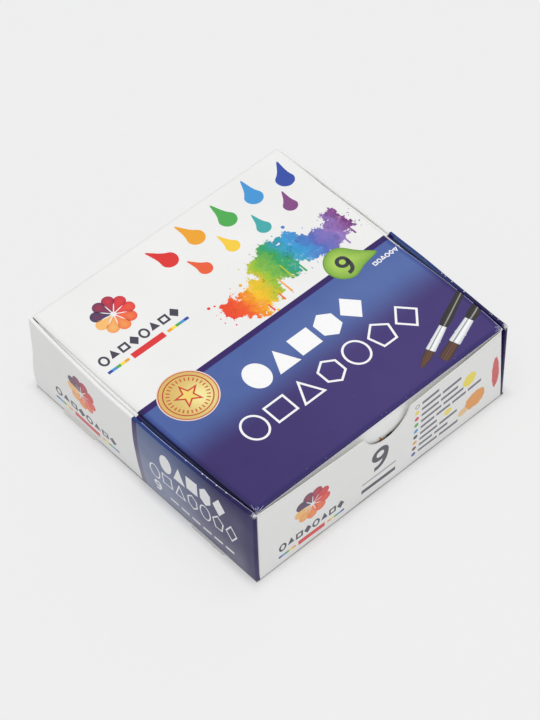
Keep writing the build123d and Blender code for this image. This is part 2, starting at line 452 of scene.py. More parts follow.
@dataclass(frozen=True)
class PrintedBoard:
    """Coated board, printed and varnished, worn to the white along its folds, with painted shade along the
    lid's folds, a painted highlight on its right fold, and painted sheen in the inks and on the side walls.
    """

    name: str
    ground: Ground
    half_width: float
    front: float
    split: float = 1.3
    strip: float = 2.5
    gloss: float = 0.3
    shine: float = 0.5
    # worn: white wear along folds and corners; on a side wall it also brings the painted sheen.
    worn: bool = True
    inks: tuple[tuple[Colour, Colour], tuple[Colour, Colour]] = LID_INKS
    corner: float = 59.0
    rear: float = 59.7
    wall_top: float = 38.8

    def material(self) -> Material:
        """Build the finish.

        Returns:
            The material.
        """
        graph = Graph(self.name)
        x, y, _ = graph.axes
        drift = graph.noise(0.035)
        colour = graph.mix(ink(236, 236, 234), ink(243, 243, 243), drift)
        if self.ground is Ground.LID:
            # Painted shade on the white half: darker along the left side fold and along the rear fold.
            rolled = self._side(x, y).ramp(2.4, 0.3) * x.ramp(0.01, -0.01) * 0.3
            rolled = rolled.most(y.ramp(self.rear - 0.8, self.rear) * 0.4)
            colour = graph.mix(colour, (0.8, 0.8, 0.79), rolled, "MULTIPLY")
            colour = Splash().colour(graph, colour)
        if self.ground is Ground.FRONT:
            # Painted shadow: towards each end the white turns grey where the wall's edge lies in the shade
            # of the side wall's fold. The indigo beyond it is the print that wraps round the corner.
            ragged = abs(x) + (graph.noise(0.5, 3.0) - 0.5) * 0.3
            corner_shadow = ragged.ramp(self.corner, self.corner + 1.1) * 0.9
            colour = graph.mix(colour, (0.42, 0.41, 0.43), corner_shadow, "MULTIPLY")
            colour = graph.mix(colour, INDIGO, ragged.ramp(self.corner + 1.0, self.corner + 1.3))
        elif self.ground is not Ground.BLANK:
            colour = self._front_half(graph, colour)
        scuff = self._scuffs(graph) if self.worn else graph.noise(0.9, 4.0, 0.8).ramp(0.76, 0.8) * 0.3
        colour = graph.mix(colour, ink(226, 225, 228), scuff)
        grain = graph.noise(3.2, 3.0, 0.6)
        wave = graph.noise(0.055, 2.0, 0.4)
        rough = self.gloss + (grain - 0.5) * 0.1 + scuff * 0.35 + (drift - 0.5) * 0.08
        relief = grain * 0.012 + wave * 0.9 + scuff * 0.03
        return graph.finish(colour, rough, graph.bump(relief, 1.0, 0.55), {"Specular IOR Level": self.shine})

    def _front_half(self, graph: Graph, under: Wire) -> Wire:
        """The blue front half with its violet fade and the dark strip along its edge.

        Args:
            graph: The material's tree.
            under: The board's colour.

        Returns:
            The printed colour.
        """
        x, y, _ = graph.axes
        start, end = (-14.5, -32.0) if self.ground is Ground.LID else (-10.0, -47.0)
        # Painted sheen: the inks lighten towards the right, and the blue goes back to the left ink near the
        # split.
        right = ((x + self.half_width) * (1 / 80)).ramp(0.0, 1.0)
        blue, violet = (graph.mix(pair[0], pair[1], right) for pair in self.inks)
        blue = graph.mix(blue, self.inks[0][0], y.ramp(-11.0, -2.0) * 0.8)
        fade = y.ramp(start, end)
        shade = graph.mix(blue, violet, fade)
        mottle = graph.noise(0.11, 3.0)
        shade = graph.mix(shade, (0.88, 0.9, 0.94), mottle.ramp(0.35, 0.7) * 0.6, "MULTIPLY")
        edge = self.split - self.strip
        shade = graph.mix(shade, INDIGO, y.ramp(edge - 0.2, edge + 0.2))
        inside: Value = 1.0
        if self.ground is Ground.LID:
            shade = self._lid_folds(graph, shade)
            inside = (y - self.front).ramp(0.03, 0.1)
        # A worn side wall also gets its painted sheen.
        elif self.worn:
            shade = self._wall_haze(graph, shade, fade)
        return graph.mix(under, shade, y.ramp(self.split + 0.05, self.split - 0.05) * inside)

    def _lid_folds(self, graph: Graph, shade: Wire) -> Wire:
        """The lid's blue half, with painted shade along its folds and a painted highlight along its right
        fold.

        Args:
            graph: The material's tree.
            shade: The printed colour.

        Returns:
            The colour with its folds.
        """
        x, y, _ = graph.axes
        side = self._side(x, y)
        left = x.ramp(0.01, -0.01)
        # Painted highlight: a thin pale line along the right side fold.
        worn = (0.24 - abs(side - 0.3)).ramp(0.0, 0.16) * (1 - left) * 0.75
        # Painted shade along the side and front folds, near black at the very edge of the left fold.
        shade = graph.mix(shade, (0.55, 0.58, 0.78), side.least(y - self.front).ramp(2.8, 0.7), "MULTIPLY")
        shade = graph.mix(shade, ink(22, 16, 50), side.ramp(0.9, 0.1) * left * 0.8)
        return graph.mix(shade, ink(196, 194, 206), worn)

    @staticmethod
    def _wall_haze(graph: Graph, shade: Wire, fade: Wire) -> Wire:
        """A side wall's blue half: a painted sheen that pales it lower down, its darker front end, and its
        ledge, which takes darker inks without the painted sheen.

        Args:
            graph: The material's tree.
            shade: The printed colour.
            fade: How far the blue has turned violet.

        Returns:
            The colour with its painted sheen.
        """
        _, y, z = graph.axes
        shade = graph.mix(shade, ink(46, 32, 92), y.ramp(-56.0, -58.0) * 0.5)
        rear = y.ramp(-44.0, -8.0)
        # Painted sheen: the gloss's reflection of the pale floor, painted paler lower down the wall.
        painted_sheen = z.ramp(38.0, 27.0) * 0.1 + z.ramp(16.0, 3.0) * (0.18 - rear * 0.12)
        painted_sheen = (painted_sheen + z.ramp(26.0, 14.0) * rear * 0.15) * (0.35 + y.ramp(-58.0, -51.0) * 0.65)
        shade = graph.mix(shade, ink(200, 200, 212), painted_sheen)
        # The ledge's top takes the darker ledge inks, without the painted sheen of the face.
        return graph.mix(shade, graph.mix(*LEDGE_INKS, fade), z.ramp(38.2, 38.7))

    def _scuffs(self, graph: Graph) -> Wire:
        """White wear along the folds, worst at the front corners.

        Args:
            graph: The material's tree.

        Returns:
            The wear's mask.
        """
        x, y, z = graph.axes
        fore = y - self.front
        crumbs = graph.noise(1.3, 5.0, 0.72)
        fine = graph.noise(3.0, 3.0, 0.7, (1.0, 2.2, 1.0))
        if self.ground is Ground.LID:
            side = self._side(x, y)
            corner = (side * side + fore * fore).root()
            edge = abs(fore - 0.35).least(abs(side - 0.35) + x.ramp(0.01, -0.01) * 2)
            rubbed = (crumbs - edge * 0.35).ramp(0.635, 0.675) * 0.75
            creased = (fine - corner * 0.16).ramp(0.42, 0.47) * corner.ramp(3.0, 1.5)
            return rubbed.most(creased).most(graph.noise(0.7, 4.0, 0.8).ramp(0.76, 0.79) * 0.6)
        top = self.wall_top - z
        ahead = abs(fore + 0.6)
        corner = (top * top + ahead * ahead).root()
        rubbed = (crumbs - abs(top - 0.1) * 0.55).ramp(0.62, 0.7) * 0.5
        chafed = (fine - corner * 0.12).ramp(0.36, 0.42)
        cracked = (fine - abs(fore + 0.9) * 0.9).ramp(0.62, 0.68) * 0.5
        return rubbed.most(chafed).most(cracked)

    def _side(self, x: Wire, y: Wire) -> Wire:
        """How far a point is from the lid's nearer side fold, which bellies out a little."""
        right = x.ramp(-0.01, 0.01)
        return self.half_width + LEFT_SWELL.wire(y) * (1 - right) + RIGHT_SWELL.wire(y) * right - abs(x)


@dataclass(frozen=True)
class PlainBoard:
    """The grey-white reverse of the board, with the fibres that show in it, and a painted contact shadow
    round the rim of a given footprint.
    """

    name: str = "plain_board"
    # Half sizes of the footprint round whose rim a contact shadow is painted; without one no shadow is
    # painted.
    foot: Optional[Point] = None

    def material(self) -> Material:
        """Build the finish.

        Returns:
            The material.
        """
        graph = Graph(self.name)
        cloud = graph.noise(0.16, 4.0, 0.6)
        fibre = graph.noise(1.1, 4.0, 0.7, (0.35, 3.2, 1.6))
        fleck = graph.noise(1.9, 2.0, 0.8).ramp(0.7, 0.76)
        colour = graph.mix(ink(222, 221, 217), ink(233, 232, 229), cloud)
        colour = graph.mix(colour, ink(196, 192, 183), fibre.ramp(0.5, 0.72) * 0.5)
        colour = graph.mix(colour, ink(150, 140, 124), fleck * 0.5)
        # Painted contact shadow: darker towards the rim of the footprint, where the board meets the floor.
        if self.foot:
            x, y, _ = graph.axes
            edge = (abs(x) - self.foot[0]).most(abs(y) - self.foot[1])
            colour = graph.mix(colour, ink(92, 90, 92), edge.ramp(-0.7, -0.2) * (0.6 + 0.3 * cloud))
        normal = graph.bump(fibre * 0.035 + cloud * 0.05, 1.0, 0.6)
        return graph.finish(colour, 0.72 + fibre * 0.16, normal, {"Specular IOR Level": 0.35})


@dataclass(frozen=True)
class CutEdge:
    """The board's cut edge: grey plies between two white faces."""

    name: str = "cut_edge"

    def material(self) -> Material:
        """Build the finish.

        Returns:
            The material.
        """
        graph = Graph(self.name)
        plies = graph.noise(1.0, 3.0, 0.6, (0.5, 0.5, 7.0))
        fuzz = graph.noise(4.0, 3.0, 0.7)
        colour = graph.mix(ink(206, 203, 198), ink(232, 231, 229), plies)
        colour = graph.mix(colour, ink(170, 164, 158), fuzz.ramp(0.58, 0.7) * 0.4)
        normal = graph.bump(fuzz, 0.05, 0.6)
        return graph.finish(colour, 0.8 + fuzz * 0.15, normal, {"Specular IOR Level": 0.3})


@dataclass(frozen=True)
class PrintInk:
    """Ink whose colour is in the mesh, varnished with the board."""

    name: str = "print_ink"

    def material(self) -> Material:
        """Build the finish.

        Returns:
            The material.
        """
        graph = Graph(self.name)
        settings = {"attribute_type": "GEOMETRY", "attribute_name": "ink"}
        colour = graph.node("ShaderNodeAttribute", settings)
        screen = graph.noise(0.9, 4.0, 0.6)
        grain = graph.noise(3.2, 3.0, 0.6)
        worn = graph.noise(0.8, 5.0, 0.8).ramp(0.74, 0.78)
        colour = graph.mix(colour, (0.9, 0.9, 0.9), screen.ramp(0.45, 0.75) * 0.5, "MULTIPLY")
        colour = graph.mix(colour, ink(232, 232, 232), worn * 0.5)
        rough = 0.3 + (grain - 0.5) * 0.12 + worn * 0.3
        return graph.finish(colour, rough, graph.bump(grain, 0.012, 0.5), {"Specular IOR Level": 0.5})


@dataclass(frozen=True)
class CapPlastic:
    """Moulded polypropylene with a fine spark texture and rubbed ribs."""

    paint: Paint

    def material(self) -> Material:
        """Build the finish.

        Returns:
            The material.
        """
        graph = Graph(f"cap_{self.paint.word}")
        spark = graph.noise(2.6, 3.0, 0.65)
        fine = graph.noise(1.1, 5.0, 0.8, (1.0, 1.0, 0.2)).ramp(0.66, 0.72)
        pale = tuple(0.86 * part + 0.14 for part in self.paint.colour)
        deep = tuple(0.95 * part for part in self.paint.colour)
        colour = graph.mix(deep, self.paint.colour, graph.noise(0.12).ramp(0.3, 0.6))
        colour = graph.mix(colour, pale, fine * 0.2)
        rough = 0.36 + spark * 0.14 + fine * 0.15
        fixed = {"Subsurface Weight": 0.06, "Subsurface Scale": 0.001}
        return graph.finish(colour, rough, graph.bump(spark, 0.03, 0.5), fixed)


@dataclass(frozen=True)
class JarPlastic:
    """Milky jar plastic, faintly streaked by the mould."""

    name: str = "jar_plastic"

    def material(self) -> Material:
        """Build the finish.

        Returns:
            The material.
        """
        graph = Graph(self.name)
        flow = graph.noise(0.3, 3.0, stretch=(1.0, 1.0, 0.15))
        spark = graph.noise(2.0, 3.0, 0.6)
        colour = graph.mix(ink(236, 238, 235), ink(246, 247, 244), flow)
        fixed = {
            "Transmission Weight": 0.15, "IOR": 1.5, "Subsurface Weight": 0.2, "Subsurface Scale": 0.002,
        }
        return graph.finish(colour, 0.34 + spark * 0.16, graph.bump(spark, 0.02, 0.5), fixed)


@dataclass(frozen=True)
class WetPaint:
    """Thick matt gouache with brushed swirls in its top."""

    paint: Paint

    def material(self) -> Material:
        """Build the finish.

        Returns:
            The material.
        """
        graph = Graph(f"paint_{self.paint.word}")
        swirl = graph.noise(0.22, 3.0, 0.6)
        cream = graph.noise(1.2, 4.0, 0.6)
        deep = tuple(0.8 * part for part in self.paint.colour)
        colour = graph.mix(deep, self.paint.colour, swirl.ramp(0.3, 0.7))
        normal = graph.bump(swirl * 0.5 + cream * 0.08, 1.0, 0.6)
        coat = {"Coat Weight": 0.15, "Coat Roughness": 0.3}
        return graph.finish(colour, 0.42 + cream * 0.25, normal, coat)


@dataclass(frozen=True)
class LabelPaper:
    """A jar's paper label: white, with a band in the colour of its paint."""

    paint: Paint
    low: float
    high: float

    def material(self) -> Material:
        """Build the finish.

        Returns:
            The material.
        """
        graph = Graph(f"label_{self.paint.word}")
        z = graph.axes[2]
        fibre = graph.noise(1.6, 4.0, 0.7, (1.0, 1.0, 0.3))
        paper = graph.mix(ink(232, 231, 227), ink(244, 243, 240), fibre)
        band_top, line = (self.low + share * (self.high - self.low) for share in (0.3, 0.36))
        band = z.ramp(band_top + 0.05, band_top - 0.05).most(abs(z - line).ramp(0.3, 0.22))
        dim = tuple(0.9 * part for part in self.paint.colour)
        colour = graph.mix(paper, graph.mix(dim, self.paint.colour, fibre), band)
        normal = graph.bump(fibre, 0.03, 0.5)
        return graph.finish(colour, 0.5 + fibre * 0.2, normal, {"Specular IOR Level": 0.4})


# Meshes


def put(name: str, data: bpy.types.ID) -> bpy.types.Object:
    """Put an object in the scene."""
    bpy.context.scene.collection.objects.link(thing := bpy.data.objects.new(name, data))
    return thing


def object_of(
    name: str, mesh: bpy.types.Mesh, body: str, slot: str, replaced: Iterable[str] = (),
) -> bpy.types.Object:
    """Put a mesh in the scene as a piece of the box.

    Args:
        name: The piece's name.
        mesh: Its mesh, in metres.
        body: The body that carries it.
        slot: The record's material slot, which is not used.
        replaced: The model's nodes that it stands for.

    Returns:
        The piece.
    """
    piece = put(name, mesh)
    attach(piece, body)
    if replaced:
        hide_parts(*replaced)
    log.info("%s rides on %s, %d faces", name, body, len(mesh.polygons))
    return piece


def dress(node: str, material: Material) -> None:
    """Give a node of the model its finish.

    Args:
        node: The node's name.
        material: The finish.
    """
    mesh = frame["nodes"][node].data
    mesh.materials.clear()
    mesh.materials.append(material)
    log.info("%s keeps its shape and takes %s", node, material.name)


def tidy_normals(mesh: bpy.types.Mesh) -> None:
    """Point every face outwards, shade smooth, and keep the sharp folds sharp.

    Args:
        mesh: The mesh, changed in place.
    """
    work = bmesh.new()
    work.from_mesh(mesh)
    bmesh.ops.recalc_face_normals(work, faces=work.faces)
    for face in work.faces:
        face.smooth = True
    work.to_mesh(mesh)
    work.free()
    mesh.set_sharp_from_angle(angle=CREASE_ANGLE)
    mesh.update()


@dataclass
class Slab:
    """A thin closed sheet, built from its outer face, the matching inner one and their rim."""

    outer: list[Vector] = field(default_factory=list)
    inner: list[Vector] = field(default_factory=list)
    faces: list[tuple[int, ...]] = field(default_factory=list)
    colours: list[Colour] = field(default_factory=list)

    def mesh(self, name: str, materials: Sequence[Material], edge: Side = Side.CUT) -> bpy.types.Mesh:
        """Close the sheet.

        Args:
            name: The mesh's name.
            materials: One for the whole sheet, or one each for its printed, plain and cut faces.
            edge: What its rim shows.

        Returns:
            The mesh, in metres.
        """
        count = len(self.outer)
        sides = {(a, b) for face in self.faces for a, b in zip(face, face[1:] + face[:1])}
        rim = [(b, a, a + count, b + count) for a, b in sorted(sides) if (b, a) not in sides]
        back = [tuple(index + count for index in reversed(face)) for face in self.faces]
        points = [tuple(point * MM) for point in self.outer + self.inner]
        mesh = bpy.data.meshes.new(name)
        mesh.from_pydata(points, [], [*self.faces, *back, *rim])
        for material in materials:
            mesh.materials.append(material)
        if len(materials) > 1:
            kinds = [Side.PRINTED.value] * len(self.faces) + [Side.PLAIN.value] * len(back)
            kinds += [edge.value] * len(rim)
            mesh.polygons.foreach_set("material_index", kinds)
        else:
            attribute = mesh.color_attributes.new("ink", "FLOAT_COLOR", "POINT")
            flat = [part for colour in self.colours * 2 for part in (*colour, 1.0)]
            attribute.data.foreach_set("color", flat)
        tidy_normals(mesh)
        return mesh


def steps(low: float, high: float, step: float, near: Sequence[float] = ()) -> list[float]:
    """Cut places between two ends.

    Args:
        low: One end.
        high: The other.
        step: About how far apart the even cuts are.
        near: Distances from each end with a cut of their own.

    Returns:
        The places in order, without the ends.
    """
    count = max(1, round((high - low) / step))
    cuts = {low + (high - low) * index / count for index in range(1, count)}
    cuts |= {low + gap for gap in near} | {high - gap for gap in near}
    return sorted(cuts)


def between(first: Sequence[float], second: Sequence[float], share: float) -> tuple[float, ...]:
    """A colour or a point that is a share of the way from one to another."""
    return tuple(a + (b - a) * share for a, b in zip(first, second))


def curl(edge: float, radius: float) -> float:
    """How far a rounded edge has dropped at a distance from its end."""
    inside = min(max(edge, 0.0), radius)
    return radius - math.sqrt(radius ** 2 - (radius - inside) ** 2)


def arc(centre: Point, radius: float, start: float, end: float, count: int) -> list[Point]:
    """Points along an arc, from one angle in degrees to another, both included."""
    angles = [math.radians(start + (end - start) * index / (count - 1)) for index in range(count)]
    return [(centre[0] + radius * math.cos(a), centre[1] + radius * math.sin(a)) for a in angles]


def ring(
    centre: Point, radius: float, count: int = 40, turn: float = 0.0, squeeze: float = 1.0,
) -> list[Point]:
    """Points round a circle, an ellipse or, with few points, a regular polygon."""
    angles = [math.radians(turn) + math.tau * index / count for index in range(count)]
    return [(centre[0] + radius * math.cos(a), centre[1] + squeeze * radius * math.sin(a)) for a in angles]


def star(centre: Point, outer: float, inner: float) -> list[Point]:
    """The outline of a five-pointed star that stands on two points."""
    spots = [(outer if index % 2 == 0 else inner, math.pi / 2 + math.pi * index / 5) for index in range(10)]
    return [(centre[0] + reach * math.cos(a), centre[1] + reach * math.sin(a)) for reach, a in spots]


def teardrop(centre: Point, radius: float, length: float, turn: float, count: int = 30) -> list[Point]:
    """The outline of a drop.

    Args:
        centre: The middle of its round end.
        radius: The round end's radius.
        length: How far the tip is from the middle.
        turn: The angle in degrees that the tip points at.
        count: How many points it has.

    Returns:
        The outline.
    """
    cos_turn, sin_turn = math.cos(math.radians(turn)), math.sin(math.radians(turn))
    outline = []
    for index in range(count):
        angle = math.tau * index / count
        swell = 1.0 + (length / radius - 1.0) * max(0.0, math.cos(angle)) ** 5
        pinch = 1.0 - 0.45 * max(0.0, math.cos(angle)) ** 2
        x, y = radius * swell * math.cos(angle), radius * pinch * math.sin(angle)
        outline.append((centre[0] + x * cos_turn - y * sin_turn, centre[1] + x * sin_turn + y * cos_turn))
    return outline


@dataclass
class Stencil:
    """Flat shapes laid out on one panel in its own millimetres, ready to be bent onto it."""

    cells: list[tuple[list[Point], list[Colour], int]] = field(default_factory=list)
    strips: list[tuple[list[list[Point]], list[list[Colour]], int, bool]] = field(default_factory=list)

    def patch(self, outline: Sequence[Point], colour: Colour, layer: int = 0) -> "Stencil":
        """Lay down a filled outline."""
        self.cells.append((list(outline), [colour] * len(outline), layer))
        return self

    def block(self, across: Point, up: Point, colour: Colour, layer: int = 0) -> "Stencil":
        """Lay down a rectangle from its ends across and up the panel."""
        (left, right), (low, high) = across, up
        return self.patch([(left, low), (right, low), (right, high), (left, high)], colour, layer)

    def strip(
        self, rows: list[list[Point]], colours: list[list[Colour]], layer: int = 0, closed: bool = False,
    ) -> "Stencil":
        """Lay down a ladder of points, row by row, whose last row may join the first."""
        self.strips.append((rows, colours, layer, closed))
        return self

    def fan(
        self, outline: Sequence[Point], heart: Point, shades: Sequence[tuple[float, Colour]], layer: int = 0,
    ) -> "Stencil":
        """Fill an outline with colours for shares of the way out from a point inside it."""
        rows = [[between(heart, spot, share) for share, _ in shades] for spot in outline]
        return self.strip(rows, [[colour for _, colour in shades]] * len(rows), layer, True)

    def band(
        self, line: Sequence[Point], width: float, colour: Colour, layer: int = 0, closed: bool = False,
    ) -> "Stencil":
        """Lay down a line of even width, mitred at its corners.

        Args:
            line: The line's middle.
            width: Its width.
            colour: Its ink.
            layer: Layers of ink under it.
            closed: Whether its end joins its start.

        Returns:
            The stencil.
        """
        rows = []
        count = len(line)
        for index, spot in enumerate(line):
            before = line[(index - 1) % count] if closed or index else line[0]
            after = line[(index + 1) % count] if closed or index < count - 1 else line[-1]
            here = Vector(spot)
            first = (here - Vector(before)).normalized() if before != spot else None
            second = (Vector(after) - here).normalized() if after != spot else None
            first, second = first or second, second or first
            bisector = (first + second).normalized()
            normal = Vector((-bisector.y, bisector.x))
            reach = width / 2 / max(0.35, normal.dot(Vector((-second.y, second.x))))
            rows.append([tuple(here - normal * reach), tuple(here + normal * reach)])
        return self.strip(rows, [[colour] * 2] * count, layer, closed)

    def numeral(self, text: str, centre: Point, height: float, colour: Colour) -> "Stencil":
        """Lay down a plain numeral.

        Args:
            text: The number.
            centre: Its middle.
            height: Its height.
            colour: Its ink.

        Returns:
            The stencil.
        """
        curve = bpy.data.curves.new("numeral", "FONT")
        curve.body = text
        curve.offset = 0.02
        curve.resolution_u = 10
        curve.fill_mode = "FRONT"
        thing = bpy.data.objects.new("numeral", curve)
        mesh = bpy.data.meshes.new_from_object(thing)
        points = [vertex.co.xy for vertex in mesh.vertices]
        low = Vector((min(p.x for p in points), min(p.y for p in points)))
        high = Vector((max(p.x for p in points), max(p.y for p in points)))
        scale = height / (high.y - low.y)
        placed = [tuple(Vector(centre) + (p - (low + high) / 2) * scale) for p in points]
        for polygon in mesh.polygons:
            self.patch([placed[index] for index in polygon.vertices], colour)
        bpy.data.objects.remove(thing)
        bpy.data.curves.remove(curve)
        bpy.data.meshes.remove(mesh)
        return self

    def bold_nine(self, centre: Point, height: float, colour: Colour, layer: int = 0) -> "Stencil":
        """Lay down a bold plain 9: a bowl and the tail that bends under it.

        Args:
            centre: Its middle.
            height: Its height.
            colour: Its ink.
            layer: Layers of ink under it.

        Returns:
            The stencil.
        """
        stroke = 0.17 * height
        bowl = (centre[0], centre[1] + 0.19 * height)
        self.band(ring(bowl, 0.225 * height), stroke, colour, layer, True)
        knots = [Vector(knot) for knot in ((0.225, 0.19), (0.235, -0.2), (0.1, -0.43), (-0.19, -0.4))]
        tail = []
        for index in range(17):
            t = index / 16
            shares = ((1 - t) ** 3, 3 * t * (1 - t) ** 2, 3 * t * t * (1 - t), t ** 3)
            spot = sum((knot * share for knot, share in zip(knots, shares)), Vector((0, 0)))
            tail.append(tuple(Vector(centre) + spot * height))
        return self.band(tail, stroke, colour, layer)

    def slab(
        self, place: Place, cuts_a: Sequence[float] = (), cuts_b: Sequence[float] = (),
        lift: float = 0.02, depth: float = 0.03,
    ) -> Slab:
        """Cut the shapes along a grid and bend them onto a panel.

        Args:
            place: Where a point of the panel is in the model.
            cuts_a: Where to cut along the first coordinate.
            cuts_b: Where to cut along the second.
            lift: How far each layer stands above the last.
            depth: How deep the shapes reach into the board.

        Returns:
            The sheet.
        """
        work = bmesh.new()
        tint = work.verts.layers.float_color.new("ink")

        def vertex(point: Point, colour: Colour, layer: int) -> bmesh.types.BMVert:
            """Add a point with its colour, at the height of its layer."""
            made = work.verts.new((point[0], point[1], layer))
            made[tint] = (*colour, 1.0)
            return made

        for outline, colours, layer in self.cells:
            work.faces.new([vertex(p, c, layer) for p, c in zip(outline, colours)])
        for rows, shades, layer, closed in self.strips:
            made = [[vertex(p, c, layer) for p, c in zip(*row)] for row in zip(rows, shades)]
            pairs = list(zip(made, made[1:])) + ([(made[-1], made[0])] if closed else [])
            for near, far in pairs:
                for index in range(len(near) - 1):
                    work.faces.new((near[index], near[index + 1], far[index + 1], far[index]))
        bmesh.ops.recalc_face_normals(work, faces=work.faces)
        bmesh.ops.reverse_faces(work, faces=[face for face in work.faces if face.normal.z < 0])
        for normal, cuts in ((Vector((1, 0, 0)), cuts_a), (Vector((0, 1, 0)), cuts_b)):
            for cut in cuts:
                geometry = work.verts[:] + work.edges[:] + work.faces[:]
                bmesh.ops.bisect_plane(
                    work, geom=geometry, dist=1e-5, plane_co=normal * cut, plane_no=normal,
                )
        work.verts.index_update()
        sheet = Slab()
        for vert in work.verts:
            a, b, layer = vert.co
            sheet.outer.append(place(a, b, -lift * (layer + 1)))
            sheet.inner.append(place(a, b, depth))
            sheet.colours.append(tuple(vert[tint])[:3])
        sheet.faces = [tuple(vert.index for vert in face.verts) for face in work.faces]
        work.free()
        return sheet


@dataclass(frozen=True)
class Shape:
    """One plain shape of a printed row: a ring of many points, or a polygon of a few."""

    points: int
    turn: float = 0.0
    grow: float = 1.0
    squash: float = 1.0
    drop: float = 0.0
    solid: bool = False


DARK_ROW = (
    Shape(30, 0, 0.82), Shape(3, 90, 1.08, solid=True), Shape(4, 45, 1.066, 0.8),
    Shape(4, 0, 1.05, solid=True),
) * 2
BOLD_ROW = (
    Shape(40, solid=True), Shape(3, 90, 1.12, drop=0.16, solid=True), Shape(4, 45, 1.32, 0.8, solid=True),
    Shape(6, 90, solid=True), Shape(4, solid=True),
)
THIN_ROW = (
    Shape(44), Shape(4, 45, 1.3, 0.8), Shape(3, 90, 1.1, drop=0.14), Shape(6, 90), Shape(44),
    Shape(5, 90, 1.06), Shape(4, 0, 1.04),
)
SMALL_ROW = (
    Shape(4, 45, 1.2), Shape(24), Shape(3, 90, 1.1), Shape(24), Shape(4, 0, 1.1), Shape(3, 270, 1.1),
)
EMBLEM_INKS = (
    ink(62, 54, 92), ink(104, 46, 86), ink(160, 40, 74), ink(206, 44, 60), ink(226, 58, 58),
    ink(238, 88, 58), ink(244, 124, 64), ink(246, 158, 84), ink(250, 190, 110),
)
BAR_PAINTS = (Paint.DARK_BLUE, Paint.LIGHT_BLUE, Paint.LIGHT_GREEN, Paint.LIGHT_YELLOW, Paint.DARK_YELLOW)


@dataclass
class Artwork(Stencil):
    """A stencil that knows the printed shapes that several panels have."""

    def emblem(self, left: float, right: float, low: float, scale: float = 1.0) -> "Artwork":
        """Lay down a ring of nine drops over a row of dark shapes and a striped bar.

        Args:
            left: The block's left end.
            right: Its right end.
            low: The middle of the striped bar.
            scale: The height of the block against the lid's.

        Returns:
            The stencil.
        """
        size = 4.6 * scale
        self.ring_of_drops(((left + right) / 2, low + 19.5 * scale), 7.6 * scale, 2.5 * scale)
        self.row(DARK_ROW, (left, right), low + 5.2 * scale, size, SLATE, 0.42, size * 0.19)
        return self.bar(left, right, low, scale)

    def ring_of_drops(self, centre: Point, radius: float, drop: float) -> "Artwork":
        """Lay down nine drops in a ring, from dark violet through red to orange.

        Args:
            centre: The ring's middle.
            radius: The ring's size.
            drop: The drops' size.

        Returns:
            The stencil.
        """
        for index, colour in enumerate(EMBLEM_INKS):
            turn = 150 - 40 * index
            angle = math.radians(turn)
            reach = radius * 0.82
            middle = (centre[0] + reach * math.cos(angle), centre[1] + reach * math.sin(angle))
            after = EMBLEM_INKS[min(index + 1, len(EMBLEM_INKS) - 1)]
            shades = ((0.05, after), (0.6, between(after, colour, 0.6)), (1.0, colour))
            self.fan(teardrop(middle, drop * 0.98, drop * 2.1, turn + 180), middle, shades)
            self.patch(ring(middle, drop * 0.06, 8), after)
        return self

    def bar(self, left: float, right: float, low: float, scale: float) -> "Artwork":
        """Lay down a thin bar in five colours, mirrored at both ends of a thick red middle.

        Args:
            left: Its left end.
            right: Its right end.
            low: The height of its middle.
            scale: Its thickness against the lid's.

        Returns:
            The stencil.
        """
        thin, thick = ((low - half * scale, low + half * scale) for half in (0.6, 1.3))
        width = (right - left) * 0.26 / len(BAR_PAINTS)
        for index, paint in enumerate(BAR_PAINTS):
            for start in (left + index * width, right - (index + 1) * width):
                self.block((start, start + width), thin, paint.colour)
        gap = (right - left) * 0.3
        self.block((left + gap, right - gap), thick, BAR_RED)
        return self

    def row(
        self, shapes: Sequence[Shape], span: Point, middle: float, size: float, colour: Colour,
        fill: float, stroke: float = 0.0, inset: float = 0.0,
    ) -> "Artwork":
        """Lay down a row of plain shapes.

        Args:
            shapes: The shapes from left to right.
            span: The row's ends.
            middle: The height of its middle.
            size: How tall it is.
            colour: Its ink.
            fill: Half a shape's width, as a share of its room.
            stroke: The width of the outlines.
            inset: How far the outlines' middle lies inside the size.

        Returns:
            The stencil.
        """
        pitch = (span[1] - span[0]) / len(shapes)
        half = min(pitch * fill, size / 2) - inset
        rise = (size / 2 - inset) / half
        for index, shape in enumerate(shapes):
            centre = (span[0] + pitch * (index + 0.5), middle - shape.drop * size)
            outline = ring(centre, half * shape.grow, shape.points, shape.turn, rise * shape.squash)
            if shape.solid:
                self.patch(outline, colour)
            else:
                self.band(outline, stroke, colour, closed=True)
        return self


# Sizes


@dataclass(frozen=True)
class Sizes:
    """The carton's sizes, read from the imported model."""

    half_width: float
    half_depth: float
    height: float
    board: float
    roll: float
    lid_half: float
    lid_front: float
    hinge_y: float
    crease_z: float
    front_top: float
    back_top: float
    left_bow: float
    right_bow: float
    front_bow: float
    back_bow: float
    end_half: float

    @staticmethod
    def read() -> "Sizes":
        """Read the sizes from the nodes' boxes and the lid's hinge.

        Returns:
            The sizes.
        """
        nodes = ("base_panel", "lid_panel", "front_wall", "back_wall", "left_outer_wall", "right_outer_wall")
        base, lid, front, back, left, right = ([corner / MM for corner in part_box(name)] for name in nodes)
        hinge = next(joint for joint in frame["joints"] if joint["name"] == "lid_hinge")
        board = base[1].z
        return Sizes(
            half_width=base[1].x,
            half_depth=base[1].y,
            height=lid[1].z,
            board=board,
            roll=3 * board + 0.2,
            lid_half=lid[1].x,
            lid_front=lid[0].y,
            hinge_y=hinge["pos_m"][1] / MM,
            crease_z=hinge["pos_m"][2] / MM,
            front_top=front[1].z,
            back_top=back[1].z,
            left_bow=-left[0].x - base[1].x,
            right_bow=right[1].x - base[1].x,
            front_bow=-front[0].y - base[1].y,
            back_bow=back[1].y - base[1].y,
            end_half=front[1].x,
        )


